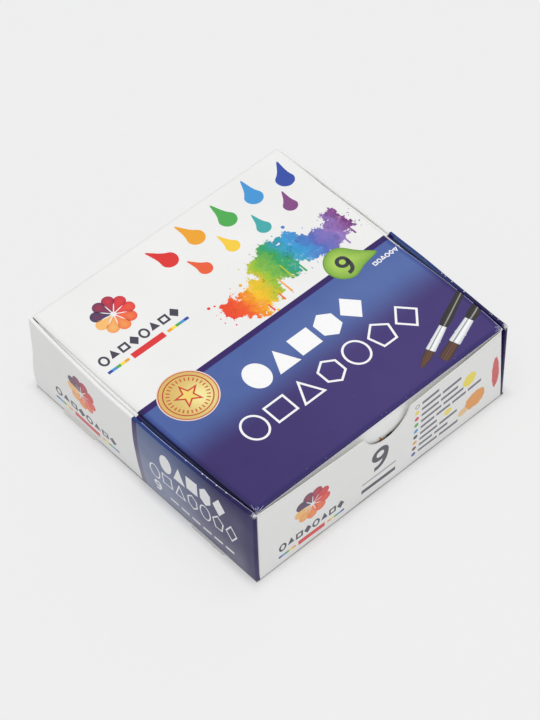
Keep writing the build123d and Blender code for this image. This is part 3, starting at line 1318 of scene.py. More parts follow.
@dataclass(frozen=True)
class Wall:
    """The bowed face of one wall: it looks towards -Y and is then turned about Z.

    The left end may flare out at its top or heel out at its foot. The top of the right end may
    shift inwards, and both ends may curl back by a radius.
    """

    reach: float
    half: float
    bow: float
    wave: float
    height: float
    quarter_turns: int
    flare: float = 0.0
    heel: float = 0.0
    ripple: float = 0.09
    shift: float = 0.0
    curls: Point = (0.0, 0.0)

    def place(self, along: float, up: float, depth: float = 0.0) -> Vector:
        """A point of the wall.

        Args:
            along: Millimetres along the wall, to the right as seen from outside.
            up: Millimetres above the floor.
            depth: Millimetres behind the outer face.

        Returns:
            The point in the model's frame.
        """
        depth += curl(self.half + along, self.curls[0]) + curl(self.half - along, self.curls[1])
        along -= self.shift * min(1.0, up / self.height) * max(0.0, (along - 46) / 14.4) ** 2
        share = max(0.0, 1 - (along / self.half) ** 2)
        risen = max(0.0, up) / self.height
        ripple = math.sin(along * 0.21 + up * 0.13) * math.sin(up * 0.19 + 0.6) - 1
        out = (self.bow * math.sin(math.pi * self.wave * risen) + self.ripple * ripple) * share
        out += self.flare * min(1.0, risen) * max(0.0, (-along - 46) / 14) ** 2
        heel = self.heel * math.sin(math.pi * min(1.0, max(0.0, up) / 20))
        out += heel * max(0.0, (-along - 44) / 17) ** 2
        point = Vector((along, -self.reach - out + depth, up))
        return Matrix.Rotation(math.radians(90 * self.quarter_turns), 3, "Z") @ point


# The carton


@dataclass
class Finishes:
    """The materials that several pieces share, and the laying of board and ink."""

    sizes: Sizes

    def __post_init__(self) -> None:
        """Build each finish once."""
        s = self.sizes
        wall = {"split": 0.8, "shine": 0.15, "inks": WALL_INKS}
        # The ears take dark inks, which are painted shade, and no wear.
        ear = {"split": 0.8, "shine": 0.15, "inks": SHADED_EAR_INKS, "worn": False}
        self.plain = PlainBoard().material()
        # The base panel's board carries a painted contact shadow round its rim.
        self.base = PlainBoard("base_board", (s.half_width, s.half_depth)).material()
        self.cut = CutEdge().material()
        self.ink = PrintInk().material()
        self.lid = self._printed("lid", Ground.LID, shine=0.22)
        self.front = self._printed("front", Ground.FRONT)
        self.left = self._printed("left", Ground.SIDE, **wall)
        self.right = self._printed("right", Ground.SIDE, **wall)
        self.left_ear = self._printed("left_ear", Ground.SIDE, **ear)
        self.right_ear = self._printed("right_ear", Ground.SIDE, **ear)
        self.blank = self._printed("blank", Ground.BLANK)

    def _printed(self, name: str, ground: Ground, **choices: object) -> Material:
        """Build one printed finish."""
        s = self.sizes
        return PrintedBoard(f"printed_{name}", ground, s.lid_half, s.lid_front, **choices).material()

    def sheet(
        self, outline: Sequence[Point], place: Place, cuts_a: Sequence[float], cuts_b: Sequence[float] = (),
    ) -> Slab:
        """Cut a panel of board along a grid and bend it."""
        return Stencil().patch(outline, WHITE_COAT).slab(place, cuts_a, cuts_b, 0.0, self.sizes.board)

    def lay_board(
        self, name: str, body: str, sheet: Slab, printed: Material, nodes: Sequence[str] = (),
        edge: Side = Side.CUT, slot: str = "printed_board",
    ) -> None:
        """Put a bent sheet of board in the scene, with its printed finish and the two plain ones."""
        mesh = sheet.mesh(name, (printed, self.plain, self.cut), edge)
        object_of(name, mesh, body, slot, nodes)

    def lay_print(self, name: str, body: str, sheet: Slab, slot: str = "printed_board") -> None:
        """Put a thin sheet of ink in the scene."""
        object_of(name, sheet.mesh(name, [self.ink]), body, slot)


@dataclass(frozen=True)
class Flap:
    """How a flap hangs from its fold: it looks towards -Y and is then turned about Z.

    The lower its spring, the nearer its belly is to the fold.
    """

    board: float
    out: float
    up: float
    lean: float
    quarter_turns: int
    belly: Callable[[float], float]
    length: float
    spring: float = 1.0

    def place(self, along: float, down: float, depth: float = 0.0) -> Vector:
        """A point of the flap.

        Args:
            along: Millimetres along the fold.
            down: Millimetres below the fold.
            depth: Millimetres behind the printed face.

        Returns:
            The point in the model's frame.
        """
        swell = {1: RIGHT_SWELL.at(along), 3: LEFT_SWELL.at(-along)}.get(self.quarter_turns, 0.0)
        share = max(0.0, down - FLAP_ROOT - ROOT_DROP * swell) / (self.length - FLAP_ROOT)
        bend = -self.belly(along) * math.sin(math.pi * min(1.0, share) ** self.spring)
        inward, angle = depth - self.board / 2, math.radians(self.lean)
        y = -self.out - swell + down * math.sin(angle) + inward * math.cos(angle) + bend
        z = self.up - down * math.cos(angle) + inward * math.sin(angle)
        return Matrix.Rotation(math.radians(90 * self.quarter_turns), 3, "Z") @ Vector((along, y, z))


@dataclass
class Lid:
    """The lid's panel, its print, and the three flaps that hang from its folds."""

    sizes: Sizes
    finishes: Finishes
    fold: float = 0.85
    rear_fold: float = 0.4
    sunk: float = 0.06
    sag: float = 0.11
    tuck_length: float = 17.0
    tuck_inset: float = 2.4
    tuck_corner: float = 8.0
    tuck_lean: float = 8.0
    tuck_belly: float = 2.5
    ear_length: float = 13.0
    ear_lean: float = 5.0
    ear_corner: float = 3.0
    ear_setback: float = 7.0
    ear_taper: float = 22.4

    def swell(self, x: float, y: float) -> float:
        """How far the lid and its ears belly out with the walls at a point."""
        return x / self.sizes.lid_half * (LEFT_SWELL if x < 0 else RIGHT_SWELL).at(y)

    def place(self, x: float, y: float, depth: float = 0.0) -> Vector:
        """A point of the lid's panel.

        Args:
            x: Millimetres to the right.
            y: Millimetres to the rear.
            depth: Millimetres under the printed face.

        Returns:
            The point in the model's frame.
        """
        s = self.sizes
        edge = min(s.lid_half - abs(x), y - s.lid_front)
        rear = s.half_depth - y
        hollow = 1 + math.sin(0.06 * x + 1.1) * math.sin(0.05 * y + 0.4)
        sag = self.sag * hollow * min(1.0, max(0.0, min(edge, rear)) / 12)
        fold = self.fold * (1 - 0.55 * min(1.0, max(0.0, (y - 32) / 22)))
        drop = 0.8 * curl(edge, fold) + 0.5 * curl(rear, self.rear_fold)
        return Vector((x + self.swell(x, y), y, s.height - self.sunk - sag - drop - depth))

    def build(self) -> None:
        """Build every piece of the lid."""
        self._panel()
        self._print()
        self._tuck_flap()
        for side in (-1, 1):
            self._ear(side)

    def _panel(self) -> None:
        """The panel itself."""
        s = self.sizes
        near = (0.04, 0.12, 0.24, 0.4, 0.6, 0.85, 1.4)
        left, right, front, rear = -s.lid_half, s.lid_half, s.lid_front, s.half_depth
        outline = [(left, front), (right, front), (right, rear), (left, rear)]
        cuts_x, cuts_y = steps(left, right, BOARD_STEP, near), steps(front, rear, BOARD_STEP, near)
        sheet = self.finishes.sheet(outline, self.place, cuts_x, cuts_y)
        self.finishes.lay_board("lid_board", "lid", sheet, self.finishes.lid, ["lid_panel"], Side.PRINTED)

    def _print(self) -> None:
        """The crisp shapes printed on the panel."""
        self._lay("emblem", Artwork().emblem(-55.5, -18.5, 21.3))
        self._drops()
        self._runs()
        self._medal()
        self._badge()
        self._shapes()
        self._brushes()
        self._nicks()

    def _lay(self, name: str, stencil: Stencil) -> None:
        """Lay a stencil on the panel.

        Args:
            name: What it shows.
            stencil: Its shapes.
        """
        near = (0.2, 0.4, 0.6, 0.85, 1.3)
        rims = [side * (self.sizes.lid_half - gap) for side in (-1, 1) for gap in near]
        cuts = sorted([*steps(-60, 60, FLAP_STEP), *rims])
        self.finishes.lay_print(f"lid_{name}", "lid", stencil.slab(self.place, cuts, cuts))

    def _drops(self) -> None:
        """Nine drops of paint in two rows."""
        stencil, pitch, fanned = Stencil(), 14.2, 13
        big = (Paint.SCARLET, Paint.DARK_YELLOW, Paint.LIGHT_GREEN, Paint.LIGHT_BLUE, Paint.DARK_BLUE)
        small = (ink(236, 92, 48), ink(250, 208, 60), ink(60, 170, 170), ink(130, 66, 130))
        rows = (
            ((-6, 46.5), 1.5, (3.7, 9.5), 118, [paint.colour for paint in big]),
            ((1, 34.5), 1.2, (2.9, 7.6), 112, small),
        )
        for (x, y), rise, size, turn, colours in rows:
            for index, colour in enumerate(colours):
                centre = (x + pitch * index, y + (index % 2) * rise)
                stencil.patch(teardrop(centre, *size, turn - fanned * index), colour)
        self._lay("drops", stencil)

    def _runs(self) -> None:
        """Thin runs of paint below the blots."""
        stencil, width = Stencil(), 0.3
        runs = (
            (6.0, 6.0, 2.6, ink(238, 60, 50)), (12.2, 7.5, 3.9, ink(242, 98, 44)),
            (16.6, 12.5, 5.0, ink(250, 160, 44)), (21.4, 17.0, 9.6, ink(170, 196, 60)),
            (26.8, 18.0, 8.4, ink(52, 164, 92)), (30.6, 15.5, 11.0, ink(60, 160, 180)),
            (36.4, 9.0, 5.4, ink(70, 130, 205)), (47.4, 13.0, 7.2, ink(150, 120, 190)),
            (52.2, 14.0, 9.4, ink(130, 60, 128)),
        )
        for x, top, low, colour in runs:
            foot = arc((x, low), width * 1.35, 180, 360, 9)
            stencil.patch([(x + width * 0.8, top), (x - width * 0.8, top), *foot], colour)
        self._lay("runs", stencil)

    def _medal(self) -> None:
        """A gold disc with a red ring and a plain star."""
        stencil = Stencil()
        centre, count, rings, ticks = (-41.6, -5.3), 64, 12, 30
        gold, light = ink(212, 168, 78), ink(248, 234, 158)
        stencil.patch(ring(centre, 11.2, count), ink(238, 218, 202))
        stencil.patch(ring(centre, 10.75, count), ink(196, 84, 60), 1)
        reaches = [0.4 + 9.95 * step / (rings - 1) for step in range(rings)]
        rows = [[(x * reach, y * reach) for reach in reaches] for x, y in ring((0, 0), 1.0, count)]
        glows = [[math.exp(-((x - 3.4) ** 2 + (y + 3.2) ** 2) / 38) for x, y in row] for row in rows]
        shades = [[between(gold, light, min(1.0, 0.18 + 0.85 * glow)) for glow in row] for row in glows]
        stencil.strip([[(centre[0] + x, centre[1] + y) for x, y in row] for row in rows], shades, 2, True)
        stencil.patch(ring(centre, 0.45, 16), gold, 2)
        stencil.band(ring(centre, 8.9, count), 0.45, ink(190, 70, 44), 3, True)
        for spoke in ring((0, 0), 1.0, ticks):
            out = Vector(spoke)
            side = Vector((-out.y, out.x)) * 0.2
            tick = [out * 6.5 - side, out * 7.9 - side * 1.4, out * 7.9 + side * 1.4, out * 6.5 + side]
            stencil.patch([tuple(Vector(centre) + spot) for spot in tick], ink(196, 84, 50), 3)
        stencil.patch(star(centre, 5.6, 2.35), ink(200, 52, 40), 3)
        self._lay("medal", stencil.patch(star(centre, 4.0, 1.62), ink(244, 214, 112), 4))

    def _badge(self) -> None:
        """A green drop with the number of jars."""
        centre, lean, count = (39.0, 1.6), -18, 48
        heart, edge, core = (37.4, 3.4), ink(124, 172, 56), ink(176, 212, 92)
        parts = (0.02, 0.2, 0.4, 0.6, 0.75, 0.88, 1.0)
        shades = [(part, between(core, edge, part ** 1.6)) for part in parts]
        stencil = Stencil().patch(teardrop(centre, 7.7, 13.2, lean, count), ink(104, 150, 52))
        stencil.fan(teardrop(centre, 7.3, 12.6, lean, count), heart, shades, 1)
        stencil.patch(ring(heart, 0.3, 10), core, 1)
        self._lay("badge", stencil.bold_nine((38.9, 0.6), 9.0, ink(44, 48, 52), 2))

    def _shapes(self) -> None:
        """The rows of white shapes on the blue half."""
        stencil = Artwork().row(BOLD_ROW, (-24.2, 31.6), -15.4, 12.0, PURE_WHITE, 0.45)
        stencil.row(THIN_ROW, (-40.4, 43.4), -31.8, 11.8, PURE_WHITE, 0.43, 0.85, 0.425)
        self._lay("shapes", stencil.row(SMALL_ROW, (46.0, 58.0), -6.4, 1.656, PURE_WHITE, 0.36, 0.42))

    def _brushes(self) -> None:
        """Two paint brushes that leave the panel at its right edge."""
        end, stencil = self.sizes.lid_half - 0.1, Stencil()
        self._brush(stencil, (25.0, -52.6), (end, -37.2), 1.0, True)
        self._brush(stencil, (33.5, -55.2), (end, -46.0), 1.2, False)
        self._lay("brushes", stencil)

    @staticmethod
    def _brush(stencil: Stencil, tip: Point, end: Point, width: float, pointed: bool) -> None:
        """One brush: bristles, a crimped ferrule and a lacquered handle.

        Args:
            stencil: Where the brush goes.
            tip: The end of its bristles.
            end: Where its handle leaves the panel.
            width: Its width against the first brush's.
            pointed: Whether its bristles come to a point.
        """
        start, stop = Vector(tip), Vector(end)
        length = (stop - start).length
        run = (stop - start).normalized()
        across = Vector((-run.y, run.x))
        sides = (-1, -0.35, -0.15, 0.05, 0.25, 0.45, 1)
        hair = (
            (44, 25, 18), (104, 66, 44), (62, 36, 25), (116, 76, 52), (58, 34, 24), (92, 58, 40),
            (38, 22, 17),
        )
        metal = (
            (198, 201, 208), (246, 247, 249), (252, 252, 253), (238, 240, 242), (96, 100, 108),
            (238, 241, 243), (208, 213, 217),
        )
        wood = (
            (26, 24, 23), (36, 33, 31), (176, 170, 166), (38, 35, 33), (32, 29, 28), (27, 25, 24),
            (22, 20, 19),
        )
        point, swell = (0.25, 1.1) if pointed else (1.5, 1.9)
        parts = (
            (hair, ((0.0, point), (2.2, swell), (5.0, 1.75), (8.6, 1.7))),
            (metal, ((8.65, 1.75), (9.2, 1.85), (13.0, 1.7), (13.3, 1.9), (13.9, 1.7), (20.5, 1.45))),
            (wood, ((20.6, 1.6), (24.0, 2.0), (length, 1.55))),
        )
        for tones, marks in parts:
            rows = []
            for reach, half in marks:
                middle = start + run * reach
                points = [middle + across * (half * width * side) for side in sides]
                if reach == length:
                    points = [p + run * ((stop.x - p.x) / run.x) for p in points]
                rows.append([tuple(p) for p in points])
            stencil.strip(rows, [[ink(*tone) for tone in tones]] * len(rows))

    def _nicks(self) -> None:
        """White nicks along the front fold and streaks that fan in from its corners."""
        s = self.sizes
        rng = random.Random(21)
        stencil = Stencil()
        spots = [
            (rng.uniform(-52, 58), s.lid_front + rng.uniform(0.9, 2.6), rng.uniform(0.08, 0.22))
            for _ in range(9)
        ]
        spots += [(rng.uniform(-30, 50), rng.uniform(-52, -10), rng.uniform(0.06, 0.12)) for _ in range(5)]
        for x, y, size in spots:
            outline = []
            for a, b in ring((x, y), size, 7, 0, 0.6):
                outline.append((a + rng.uniform(-0.4, 0.4) * size, b + rng.uniform(-0.3, 0.3) * size))
            stencil.patch(outline, ink(150, 146, 180), 1)
        for corner, turn in (((-s.lid_half, s.lid_front), 0.0), ((s.lid_half, s.lid_front), 90.0)):
            for index in range(5):
                angle = math.radians(turn + 12 + 16 * index + rng.uniform(-4, 4))
                run = Vector((math.cos(angle), math.sin(angle)))
                start, length = rng.uniform(0.9, 1.8), rng.uniform(1.0, 3.0)
                side = Vector((-run.y, run.x)) * 0.06
                a, b = Vector(corner) + run * start, Vector(corner) + run * (start + length)
                streak = [a - side * 1.6, b - side * 0.4, b + side * 0.4, a + side * 1.6]
                stencil.patch([tuple(spot) for spot in streak], ink(176, 182, 212), 1)
        self._lay("nicks", stencil)

    def _tuck_flap(self) -> None:
        """The flap tucked in behind the front wall, with two printed drops."""
        s = self.sizes
        length, corner = self.tuck_length, self.tuck_corner
        root = s.lid_half - self.tuck_inset
        tip = root - self.tuck_inset
        outline = [(-root, FLAP_ROOT), (root, FLAP_ROOT)]
        outline += arc((tip - corner + 0.6, length - corner), corner, 0, 90, 9)
        outline += arc((-tip + corner - 0.6, length - corner), corner, 90, 180, 9)

        def belly(along: float) -> float:
            """How far the flap stands out towards the front wall."""
            return self.tuck_belly * (1 - (along / s.half_depth) ** 2)
        out = -(s.lid_front + s.board / 2)
        place = Flap(s.board, out, s.crease_z, self.tuck_lean, 0, belly, length).place
        cuts_a, cuts_b = steps(-root, root, FLAP_STEP), steps(0.3, length, BOARD_STEP)
        sheet = self.finishes.sheet(outline, place, cuts_a, cuts_b)
        self.finishes.lay_board("tuck_flap_board", "tuck_flap", sheet, self.finishes.blank, ["tuck_flap"])
        drops = Stencil().patch(teardrop((-2.0, 9.4), 0.8, 3.0, -105), ink(206, 146, 60))
        drops.patch(teardrop((2.4, 10.2), 1.2, 2.2, -150), ink(30, 80, 52))
        self.finishes.lay_print("tuck_flap_drops", "tuck_flap", drops.slab(place))

    def _ear(self, side: int) -> None:
        """One of the flaps tucked in beside the jars.

        Args:
            side: -1 for the left one and 1 for the right one.
        """
        s = self.sizes
        right = side > 0
        name = "right_ear" if right else "left_ear"
        swell, bow = (RIGHT_SWELL, s.right_bow) if right else (LEFT_SWELL, s.left_bow)
        inset, spring = (0.22, 0.3) if right else (0.08, 0.42)
        ends = (s.lid_front + s.board / 2 + self.ear_setback, s.hinge_y - 2.6)
        front, rear = ends if right else (-ends[1], -ends[0])
        tapers = (4.0, self.ear_taper) if right else (self.ear_taper, 4.0)
        root = [front, *steps(front, rear, FLAP_STEP), rear]
        outline = [(along, FLAP_ROOT + ROOT_DROP * swell.at(along * side)) for along in root]
        low = self.ear_length - self.ear_corner
        outline += arc((rear - tapers[1] - 2.0, low), self.ear_corner, 0, 90, 6)
        outline += arc((front + tapers[0] + 2.0, low), self.ear_corner, 90, 180, 6)

        def room(along: float) -> float:
            """How far the ear can stand out towards the wall."""
            bowed = 0.95 * bow * (1 - (along / s.half_depth) ** 2)
            return max(0.0, inset + bowed - swell.at(along * side))
        out, quarter = s.lid_half - s.board / 2, 1 if right else 3
        flap = Flap(s.board, out, s.crease_z, self.ear_lean, quarter, room, self.ear_length, spring)
        drops = [0.53, 0.58, 0.65, 0.75, 0.9, 1.1, 1.4, 1.9, 2.5, 3.3, 4.5, 6.5, 9.0, 11.0]
        sheet = self.finishes.sheet(outline, flap.place, steps(front, rear, FLAP_STEP), drops)
        printed = self.finishes.right_ear if right else self.finishes.left_ear
        self.finishes.lay_board(f"{name}_board", name, sheet, printed, [name])


def mirrored(low: float, high: float, flip: int) -> Point:
    """A span along a wall, or its mirror image where flip is -1."""
    return (low, high) if flip > 0 else (-high, -low)


@dataclass
class Tray:
    """The tray: rolled side walls, front and back walls, floor and corner flaps."""

    sizes: Sizes
    finishes: Finishes
    fold: float = 0.62
    sunk: float = 0.04
    notch_half: float = 10.65
    notch_drop: float = 8.8
    notch_lip: float = 1.0
    tab_half: float = 9.75
    tab_reach: float = 1.0
    tab_middle: float = 35.0

    def __post_init__(self) -> None:
        """Lay the walls' faces out."""
        s = self.sizes
        front = (s.half_depth, s.end_half, s.front_bow, 0.5, s.height, 0)
        self.front = Wall(*front, shift=2.2, curls=(0.8, 1.3))
        self.right = Wall(s.half_width, s.half_depth, s.right_bow, 0.6, s.height, 1, flare=0.55)
        self.back = Wall(s.half_depth, s.end_half, s.back_bow, 0.98, s.height, 2)
        self.left = Wall(s.half_width, s.half_depth, s.left_bow, 0.6, s.height, 3, heel=0.9)

    def build(self) -> None:
        """Build every piece of the tray."""
        self._front_wall()
        self._back_wall()
        self._side_wall("left", self.left, self.finishes.left)
        self._side_wall("right", self.right, self.finishes.right)
        self._side_prints()
        self._rub()
        self._front_prints()
        self._back_print()
        dress("base_panel", self.finishes.base)
        for corner in ("front_left", "front_right", "back_left", "back_right"):
            dress(f"{corner}_corner_flap", self.finishes.plain)

    def _front_wall(self) -> None:
        """The front wall with its thumb notch."""
        s = self.sizes
        end, top, low = s.end_half, s.front_top, s.board
        half, drop, lip = self.notch_half, self.notch_drop, self.notch_lip
        radius = (half ** 2 + drop ** 2) / (2 * drop)
        swing = math.degrees(math.asin(half / radius)) - 7
        notch = arc((0.0, top - drop + radius), radius, -90 + swing, -90 - swing, 33)
        shoulder = [(half + lip, top), (half + lip * 0.45, top - 0.12), (half + 0.1, top - 0.5)]
        outline = [(-end, low), (end, low), (end, top), *shoulder, *notch]
        outline += [(-x, y) for x, y in reversed(shoulder)] + [(-end, top)]
        cuts = steps(-end, end, BOARD_STEP, (0.1, 0.25, 0.45, 0.7, 1.0, 1.4))
        sheet = self.finishes.sheet(outline, self.front.place, cuts, steps(low, top, WALL_STEP))
        self.finishes.lay_board("front_board", "tray", sheet, self.finishes.front, ["front_wall"])

    def _back_wall(self) -> None:
        """The back wall, up to the lid's fold."""
        s = self.sizes
        end, low, top = s.end_half, s.board, s.back_top
        outline = [(-end, low), (end, low), (end, top), (-end, top)]
        cuts_a, cuts_b = steps(-end, end, BOARD_STEP), steps(low, top, WALL_STEP)
        sheet = self.finishes.sheet(outline, self.back.place, cuts_a, cuts_b)
        self.finishes.lay_board("back_board", "tray", sheet, self.finishes.blank, ["back_wall"])

    def _profile(self, fold: float) -> tuple[list[Point], list[Point]]:
        """A side wall's section as depths and heights.

        Args:
            fold: The radius of its two upper folds.

        Returns:
            Its printed line, and the line of its reverse.
        """
        board, roll = self.sizes.board, self.sizes.roll
        spring = self.sizes.height - self.sunk - fold
        printed = [(0.0, board + (spring - board) * step / 14) for step in range(15)]
        reverse = [(board, height) for _, height in printed]
        inside = max(0.04, fold - board)
        for middle, start in ((fold, 180), (roll - fold, 90)):
            printed += arc((middle, spring), fold, start - 15, start - 90, 6)
            reverse += arc((middle, spring), inside, start - 15, start - 90, 6)
        foot = board + 0.02
        for step in range(1, 15):
            height = spring + (foot - spring) * step / 14
            printed.append((roll, height))
            reverse.append((roll - board, height))
        return printed, reverse

    def _side_wall(self, name: str, wall: Wall, printed: Material) -> None:
        """One rolled side wall: outer wall, ledge and inner wall in one sheet, with its lock tabs.

        Args:
            name: left or right.
            wall: The wall's face.
            printed: The finish of its printed side.
        """
        s = self.sizes
        near = (0.08, 0.2, 0.4, 0.65, 0.95, 1.3)
        places = [-s.half_depth, *steps(-s.half_depth, s.half_depth, BOARD_STEP, near), s.half_depth]
        outer, inner = self._profile(self.fold if name == "left" else s.roll / 2)
        sheet = Slab()
        front_end = 1 if name == "left" else -1
        for along in places:
            curled = 0.75 * curl(s.half_depth - along * front_end, 1.15)
            for (depth, up), (back_depth, back_up) in zip(outer, inner):
                turned = curled * (1 - depth / s.roll)
                sheet.outer.append(wall.place(along, up, depth + turned))
                sheet.inner.append(wall.place(along, back_up, back_depth + turned))
        width = len(outer)
        for column in range(len(places) - 1):
            for row in range(width - 1):
                a = column * width + row
                sheet.faces.append((a, a + width, a + width + 1, a + 1))
        nodes = [f"{name}_outer_wall", f"{name}_inner_wall"]
        self.finishes.lay_board(f"{name}_rolled_wall", "tray", sheet, printed, nodes, Side.PRINTED)
        tabs, blank = self._lock_tabs(wall), self.finishes.blank
        self.finishes.lay_board(f"{name}_lock_tabs", "tray", tabs, blank, slot="plain_board")

    def _lock_tabs(self, wall: Wall) -> Slab:
        """The two lock tabs that poke out under a wall.

        Args:
            wall: The wall's face.

        Returns:
            The tabs.
        """
        out, half = self.tab_reach, self.tab_half
        right = [(half, -self.sizes.roll), (half, 0.0), (half - 1.2, out - 0.3), (half - 1.6, out)]
        corners = [(-x, y) for x, y in right] + right[::-1]
        tabs, cuts = Stencil(), []
        for middle in (-self.tab_middle, self.tab_middle):
            tabs.patch([(middle + x, y) for x, y in corners], WHITE_COAT)
            cuts += steps(middle - half, middle + half, FLAP_STEP)

        def place(along: float, reach: float, depth: float = 0.0) -> Vector:
            """A point of the tabs, which lie on the ground."""
            point = wall.place(along, 0.0, -reach)
            return Vector((point.x, point.y, 0.01 + depth * 0.95))
        return tabs.slab(place, cuts, (), 0.0, self.sizes.board)

    def _side_prints(self) -> None:
        """The shapes printed on the side walls, mirrored on the right one."""
        white = ink(238, 238, 240)
        for name, wall, flip in (("left", self.left, 1), ("right", self.right, -1)):
            emblem = Artwork().emblem(*mirrored(-47.8, -12.4, flip), 5.8, 0.95)
            rows = Artwork().row(BOLD_ROW, mirrored(13.0, 46.2, flip), 28.2, 9.8, white, 0.45)
            rows.row(THIN_ROW, mirrored(6.4, 51.6, flip), 17.9, 8.8, white, 0.43, 0.6, 0.3)
            rows.bold_nine((9.6 * flip, 8.4), 6.2, white)
            for index in range(6):
                rows.block(mirrored(15.5 + 5.8 * index, 19.8 + 5.8 * index, flip), (5.4, 6.6), white)
            self._bend(f"{name}_wall_emblem", emblem, wall.place)
            self._bend(f"{name}_wall_shapes", rows, wall.place)

    def _front_prints(self) -> None:
        """The shapes printed on the front wall, and a painted highlight along its upper rim."""
        number = Stencil().bold_nine((-3.0, 20.6), 13.0, SLATE)
        number.block((-11.0, 5.4), (10.3, 11.3), between(SLATE, WHITE_COAT, 0.45))
        number.block((-11.0, 5.4), (5.1, 7.3), SLATE)
        # Painted highlight: a whiter line along the wall's top edge, broken at the notch.
        rim, top = Stencil(), self.sizes.front_top
        for low, high in ((-59.4, -12.2), (12.2, 58.6)):
            places = [low + (high - low) * index / 16 for index in range(17)]
            shades = [[PURE_WHITE, ink(236, 236, 234)]] * len(places)
            rim.strip([[(a, top - 0.02), (a, top - 0.3)] for a in places], shades)
        emblem = Artwork().emblem(-50.6, -19.4, 4.6, 0.95)
        self._bend("front_wall_emblem", emblem, self.front.place)
        self._bend("front_wall_number", number, self.front.place)
        self._swatches()
        self._smears()
        self._bend("front_wall_rim_highlight", rim, self.front.place)

    def _back_print(self) -> None:
        """A striped bar and a ring of drops on the back wall."""
        print_of_back = Artwork().bar(-40.0, 40.0, 8.0, 1.4).ring_of_drops((0.0, 22.0), 7.4, 2.4)
        self._bend("back_wall_print", print_of_back, self.back.place)

    def _bend(self, name: str, stencil: Stencil, place: Place) -> None:
        """Lay a stencil on a wall."""
        sheet = stencil.slab(place, steps(-60, 60, FLAP_STEP), steps(0, 39, WALL_STEP))
        self.finishes.lay_print(name, "tray", sheet)

    def _rub(self) -> None:
        """A painted highlight along the inner edge of the left ledge, and white nicks worn into both ledges.
        """
        s = self.sizes
        rng = random.Random(3)
        inner = s.roll - 0.12
        rows, shades = [], []
        # Painted highlight: a pale line along the left ledge's inner edge, where the ledge's blue turns pale
        # by an uneven share.
        for index in range(41):
            along = 3.0 + 1.4 * index
            rows.append([(along, inner), (along, inner - 0.22 - rng.uniform(0, 0.06))])
            fresh = between(ink(84, 104, 170), ink(66, 54, 118), min(1.0, along / 50))
            shades.append([between(fresh, ink(200, 202, 228), rng.uniform(0.3, 0.55))] * 2)
        left, right = Stencil().strip(rows, shades), Stencil()
        nick_rows = (("left", self.left, left, 1, inner - 0.3), ("right", self.right, right, -1, s.roll / 2))
        # The left stencil holds the painted highlight, and both get white nicks of wear.
        for name, wall, rubbed, flip, back in nick_rows:
            for _ in range(7):
                along, size = flip * rng.uniform(24, 58), rng.uniform(0.14, 0.34)
                nick = [(a + rng.uniform(-0.05, 0.05), b) for a, b in ring((along, back), size, 7, 0, 0.7)]
                rubbed.patch(nick, ink(222, 222, 232), 1)

            def ledge(along: float, back: float, depth: float = 0.0, wall: Wall = wall) -> Vector:
                """A point of the wall's ledge."""
                return wall.place(along, s.height - self.sunk, back) - Vector((0, 0, depth))
            self.finishes.lay_print(f"{name}_ledge_marks", "tray", rubbed.slab(ledge, lift=0.01))

    def _swatches(self) -> None:
        """Nine rows: a dot of each paint and a few dark dashes."""
        stencil = Stencil()
        lengths = (9.5, 21.0, 19.5, 22.5, 32.0, 9.5, 20.0, 15.5, 21.0)
        for index, (paint, length) in enumerate(zip(Paint, lengths)):
            height = 34.6 - 3.62 * index
            if paint is Paint.WHITE:
                stencil.band(ring((14.6, height), 0.95, 22), 0.22, SLATE, closed=True)
            else:
                stencil.patch(ring((14.6, height), 1.05, 22), paint.colour)
            parts = max(1, round(length / 9))
            pitch = length / parts
            for part in range(parts):
                start = 17.0 + pitch * part
                up = (height - 0.68, height + 0.68)
                stencil.block((start, start + pitch - 1.1), up, ink(104, 104, 120), 1)
        self._bend("front_wall_swatches", stencil, self.front.place)

    def _smears(self) -> None:
        """Loose dabs of paint beside the rows."""
        rng = random.Random(9)
        stencil = Stencil()
        dabs = (
            (41.5, 26.0, 3.5, 3.4, ink(246, 226, 74)), (31.0, 16.6, 1.9, 1.8, ink(246, 226, 90)),
            (45.5, 11.0, 5.2, 4.6, ink(238, 158, 66)), (39.4, 8.6, 2.6, 2.0, ink(240, 200, 140)),
            (56.2, 17.5, 2.0, 8.6, ink(214, 84, 84)),
        )
        for x, y, wide, tall, colour in dabs:
            outline = []
            for across, up in ring((0, 0), 1.0, 26):
                wobble = 1 + rng.uniform(-0.07, 0.07)
                outline.append((x + wide * wobble * across, y + tall * wobble * up))
            stencil.patch(outline, colour)
        self._bend("front_wall_smears", stencil, self.front.place)


# The jars


